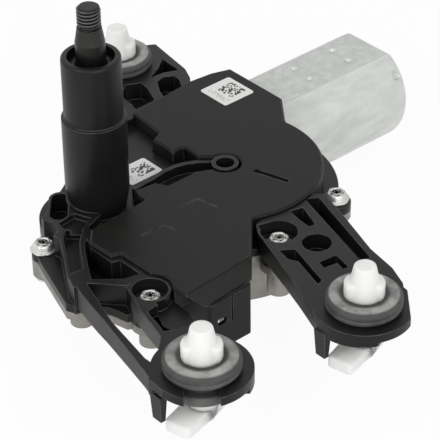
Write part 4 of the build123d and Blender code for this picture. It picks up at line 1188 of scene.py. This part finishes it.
@dataclass
class Studio:
    """White floor, soft lamps and the camera."""

    azimuth: float = 40.909
    elevation: float = 35.106
    roll: float = -0.785
    distance: float = 730.11 * MM
    shift_right: float = -41.35 * MM
    shift_up: float = 12.21 * MM
    focal_pixels: float = 2164.76
    picture: float = 440.0
    sensor: float = 36.0
    floor_size: float = 6.0
    floor_drop: float = 0.1 * MM
    floor_white: float = 0.94
    surround: float = 0.60
    lamps: tuple[Lamp, ...] = (
        Lamp("key", (-0.85, -0.05, 0.60), 3.0),
        Lamp("front", (-0.25, -1.00, 0.55), 3.8),
    )

    def camera(self) -> bpy.types.Object:
        """Places the camera by its angles round the output shaft's axis."""
        turn, tilt, roll = (math.radians(a) for a in (self.azimuth, self.elevation, self.roll))
        ground_right = Vector((math.cos(turn), -math.sin(turn), 0.0))
        ground_ahead = Vector((math.sin(turn), math.cos(turn), 0.0))
        ahead = ground_ahead * math.cos(tilt) + Vector((0.0, 0.0, -math.sin(tilt)))
        upright = ground_ahead * math.sin(tilt) + Vector((0.0, 0.0, math.cos(tilt)))
        right = ground_right * math.cos(roll) + upright * math.sin(roll)
        up = -ground_right * math.sin(roll) + upright * math.cos(roll)
        place = -ahead * self.distance - right * self.shift_right - up * self.shift_up
        data = bpy.data.cameras.new("camera")
        data.sensor_width = self.sensor
        data.lens = self.focal_pixels / self.picture * self.sensor
        data.clip_start = 0.01
        item = bpy.data.objects.new("camera", data)
        turned = Matrix((right, up, -ahead)).transposed().to_4x4()
        item.matrix_world = Matrix.Translation(place) @ turned
        bpy.context.scene.collection.objects.link(item)
        bpy.context.scene.camera = item
        return item

    def floor(self, level: float) -> None:
        """A pale floor that the camera sees as white, with the object's soft shadow."""
        mesh = bmesh.new()
        bmesh.ops.create_grid(mesh, x_segments=1, y_segments=1, size=self.floor_size / 2)
        graph = Surface("floor_look")
        graph.set(Base_Color=(0.96, 0.96, 0.96), Roughness=0.9)
        white = graph.node("ShaderNodeEmission", {}, {"Color": (1.0, 1.0, 1.0), "Strength": 1.0})
        both = graph.node("ShaderNodeMixShader", {}, {
            0: graph.shown() * self.floor_white, 1: graph.shader.outputs[0], 2: white.outputs[0]})
        graph.feed(graph.output.inputs["Surface"], both.outputs[0])
        item = MeshMaker.finish("floor", mesh, graph.material)
        item.location = (0.0, 0.0, level)

    def world(self) -> None:
        """An even white surround: full white where it is seen, dimmer as light."""
        world = bpy.data.worlds.new("surround")
        world.use_nodes = True
        bpy.context.scene.world = world
        graph = Graph(world.node_tree)
        background = graph.tree.nodes["Background"]
        graph.feed(background.inputs["Color"], (1.0, 1.0, 1.0))
        graph.feed(background.inputs["Strength"], self.surround + (1.0 - self.surround) * graph.shown())

    def build(self, level: float) -> None:
        """Makes the whole studio round an object that stands on a level."""
        self.camera()
        self.floor(level - self.floor_drop)
        for lamp in self.lamps:
            lamp.build()
        self.world()
        bpy.context.scene.view_settings.view_transform = "Standard"


def main() -> None:
    """Builds the studio and the object's looks, in order."""
    logging.basicConfig(level=logging.INFO)
    shop = Dresser()
    shop.dress()
    makers: list[FrameMoulding | MotorCan | Spindle | Screws | Grommet | Stud] = [
        FrameMoulding(), MotorCan(), Spindle(),
        Screws("housing_screws", (0.0, 0.0, 1.0)), Screws("motor_screws", (1.0, 0.0, 0.0)),
    ]
    for side in ("left", "front", "rear"):
        makers += [Grommet(side), Stud(side)]
    for maker in makers:
        LOG.info("built %s", maker.build(shop).name)
    Studio().build(SOLID_BOX[0][2])


if __name__ == "__main__":
    main()
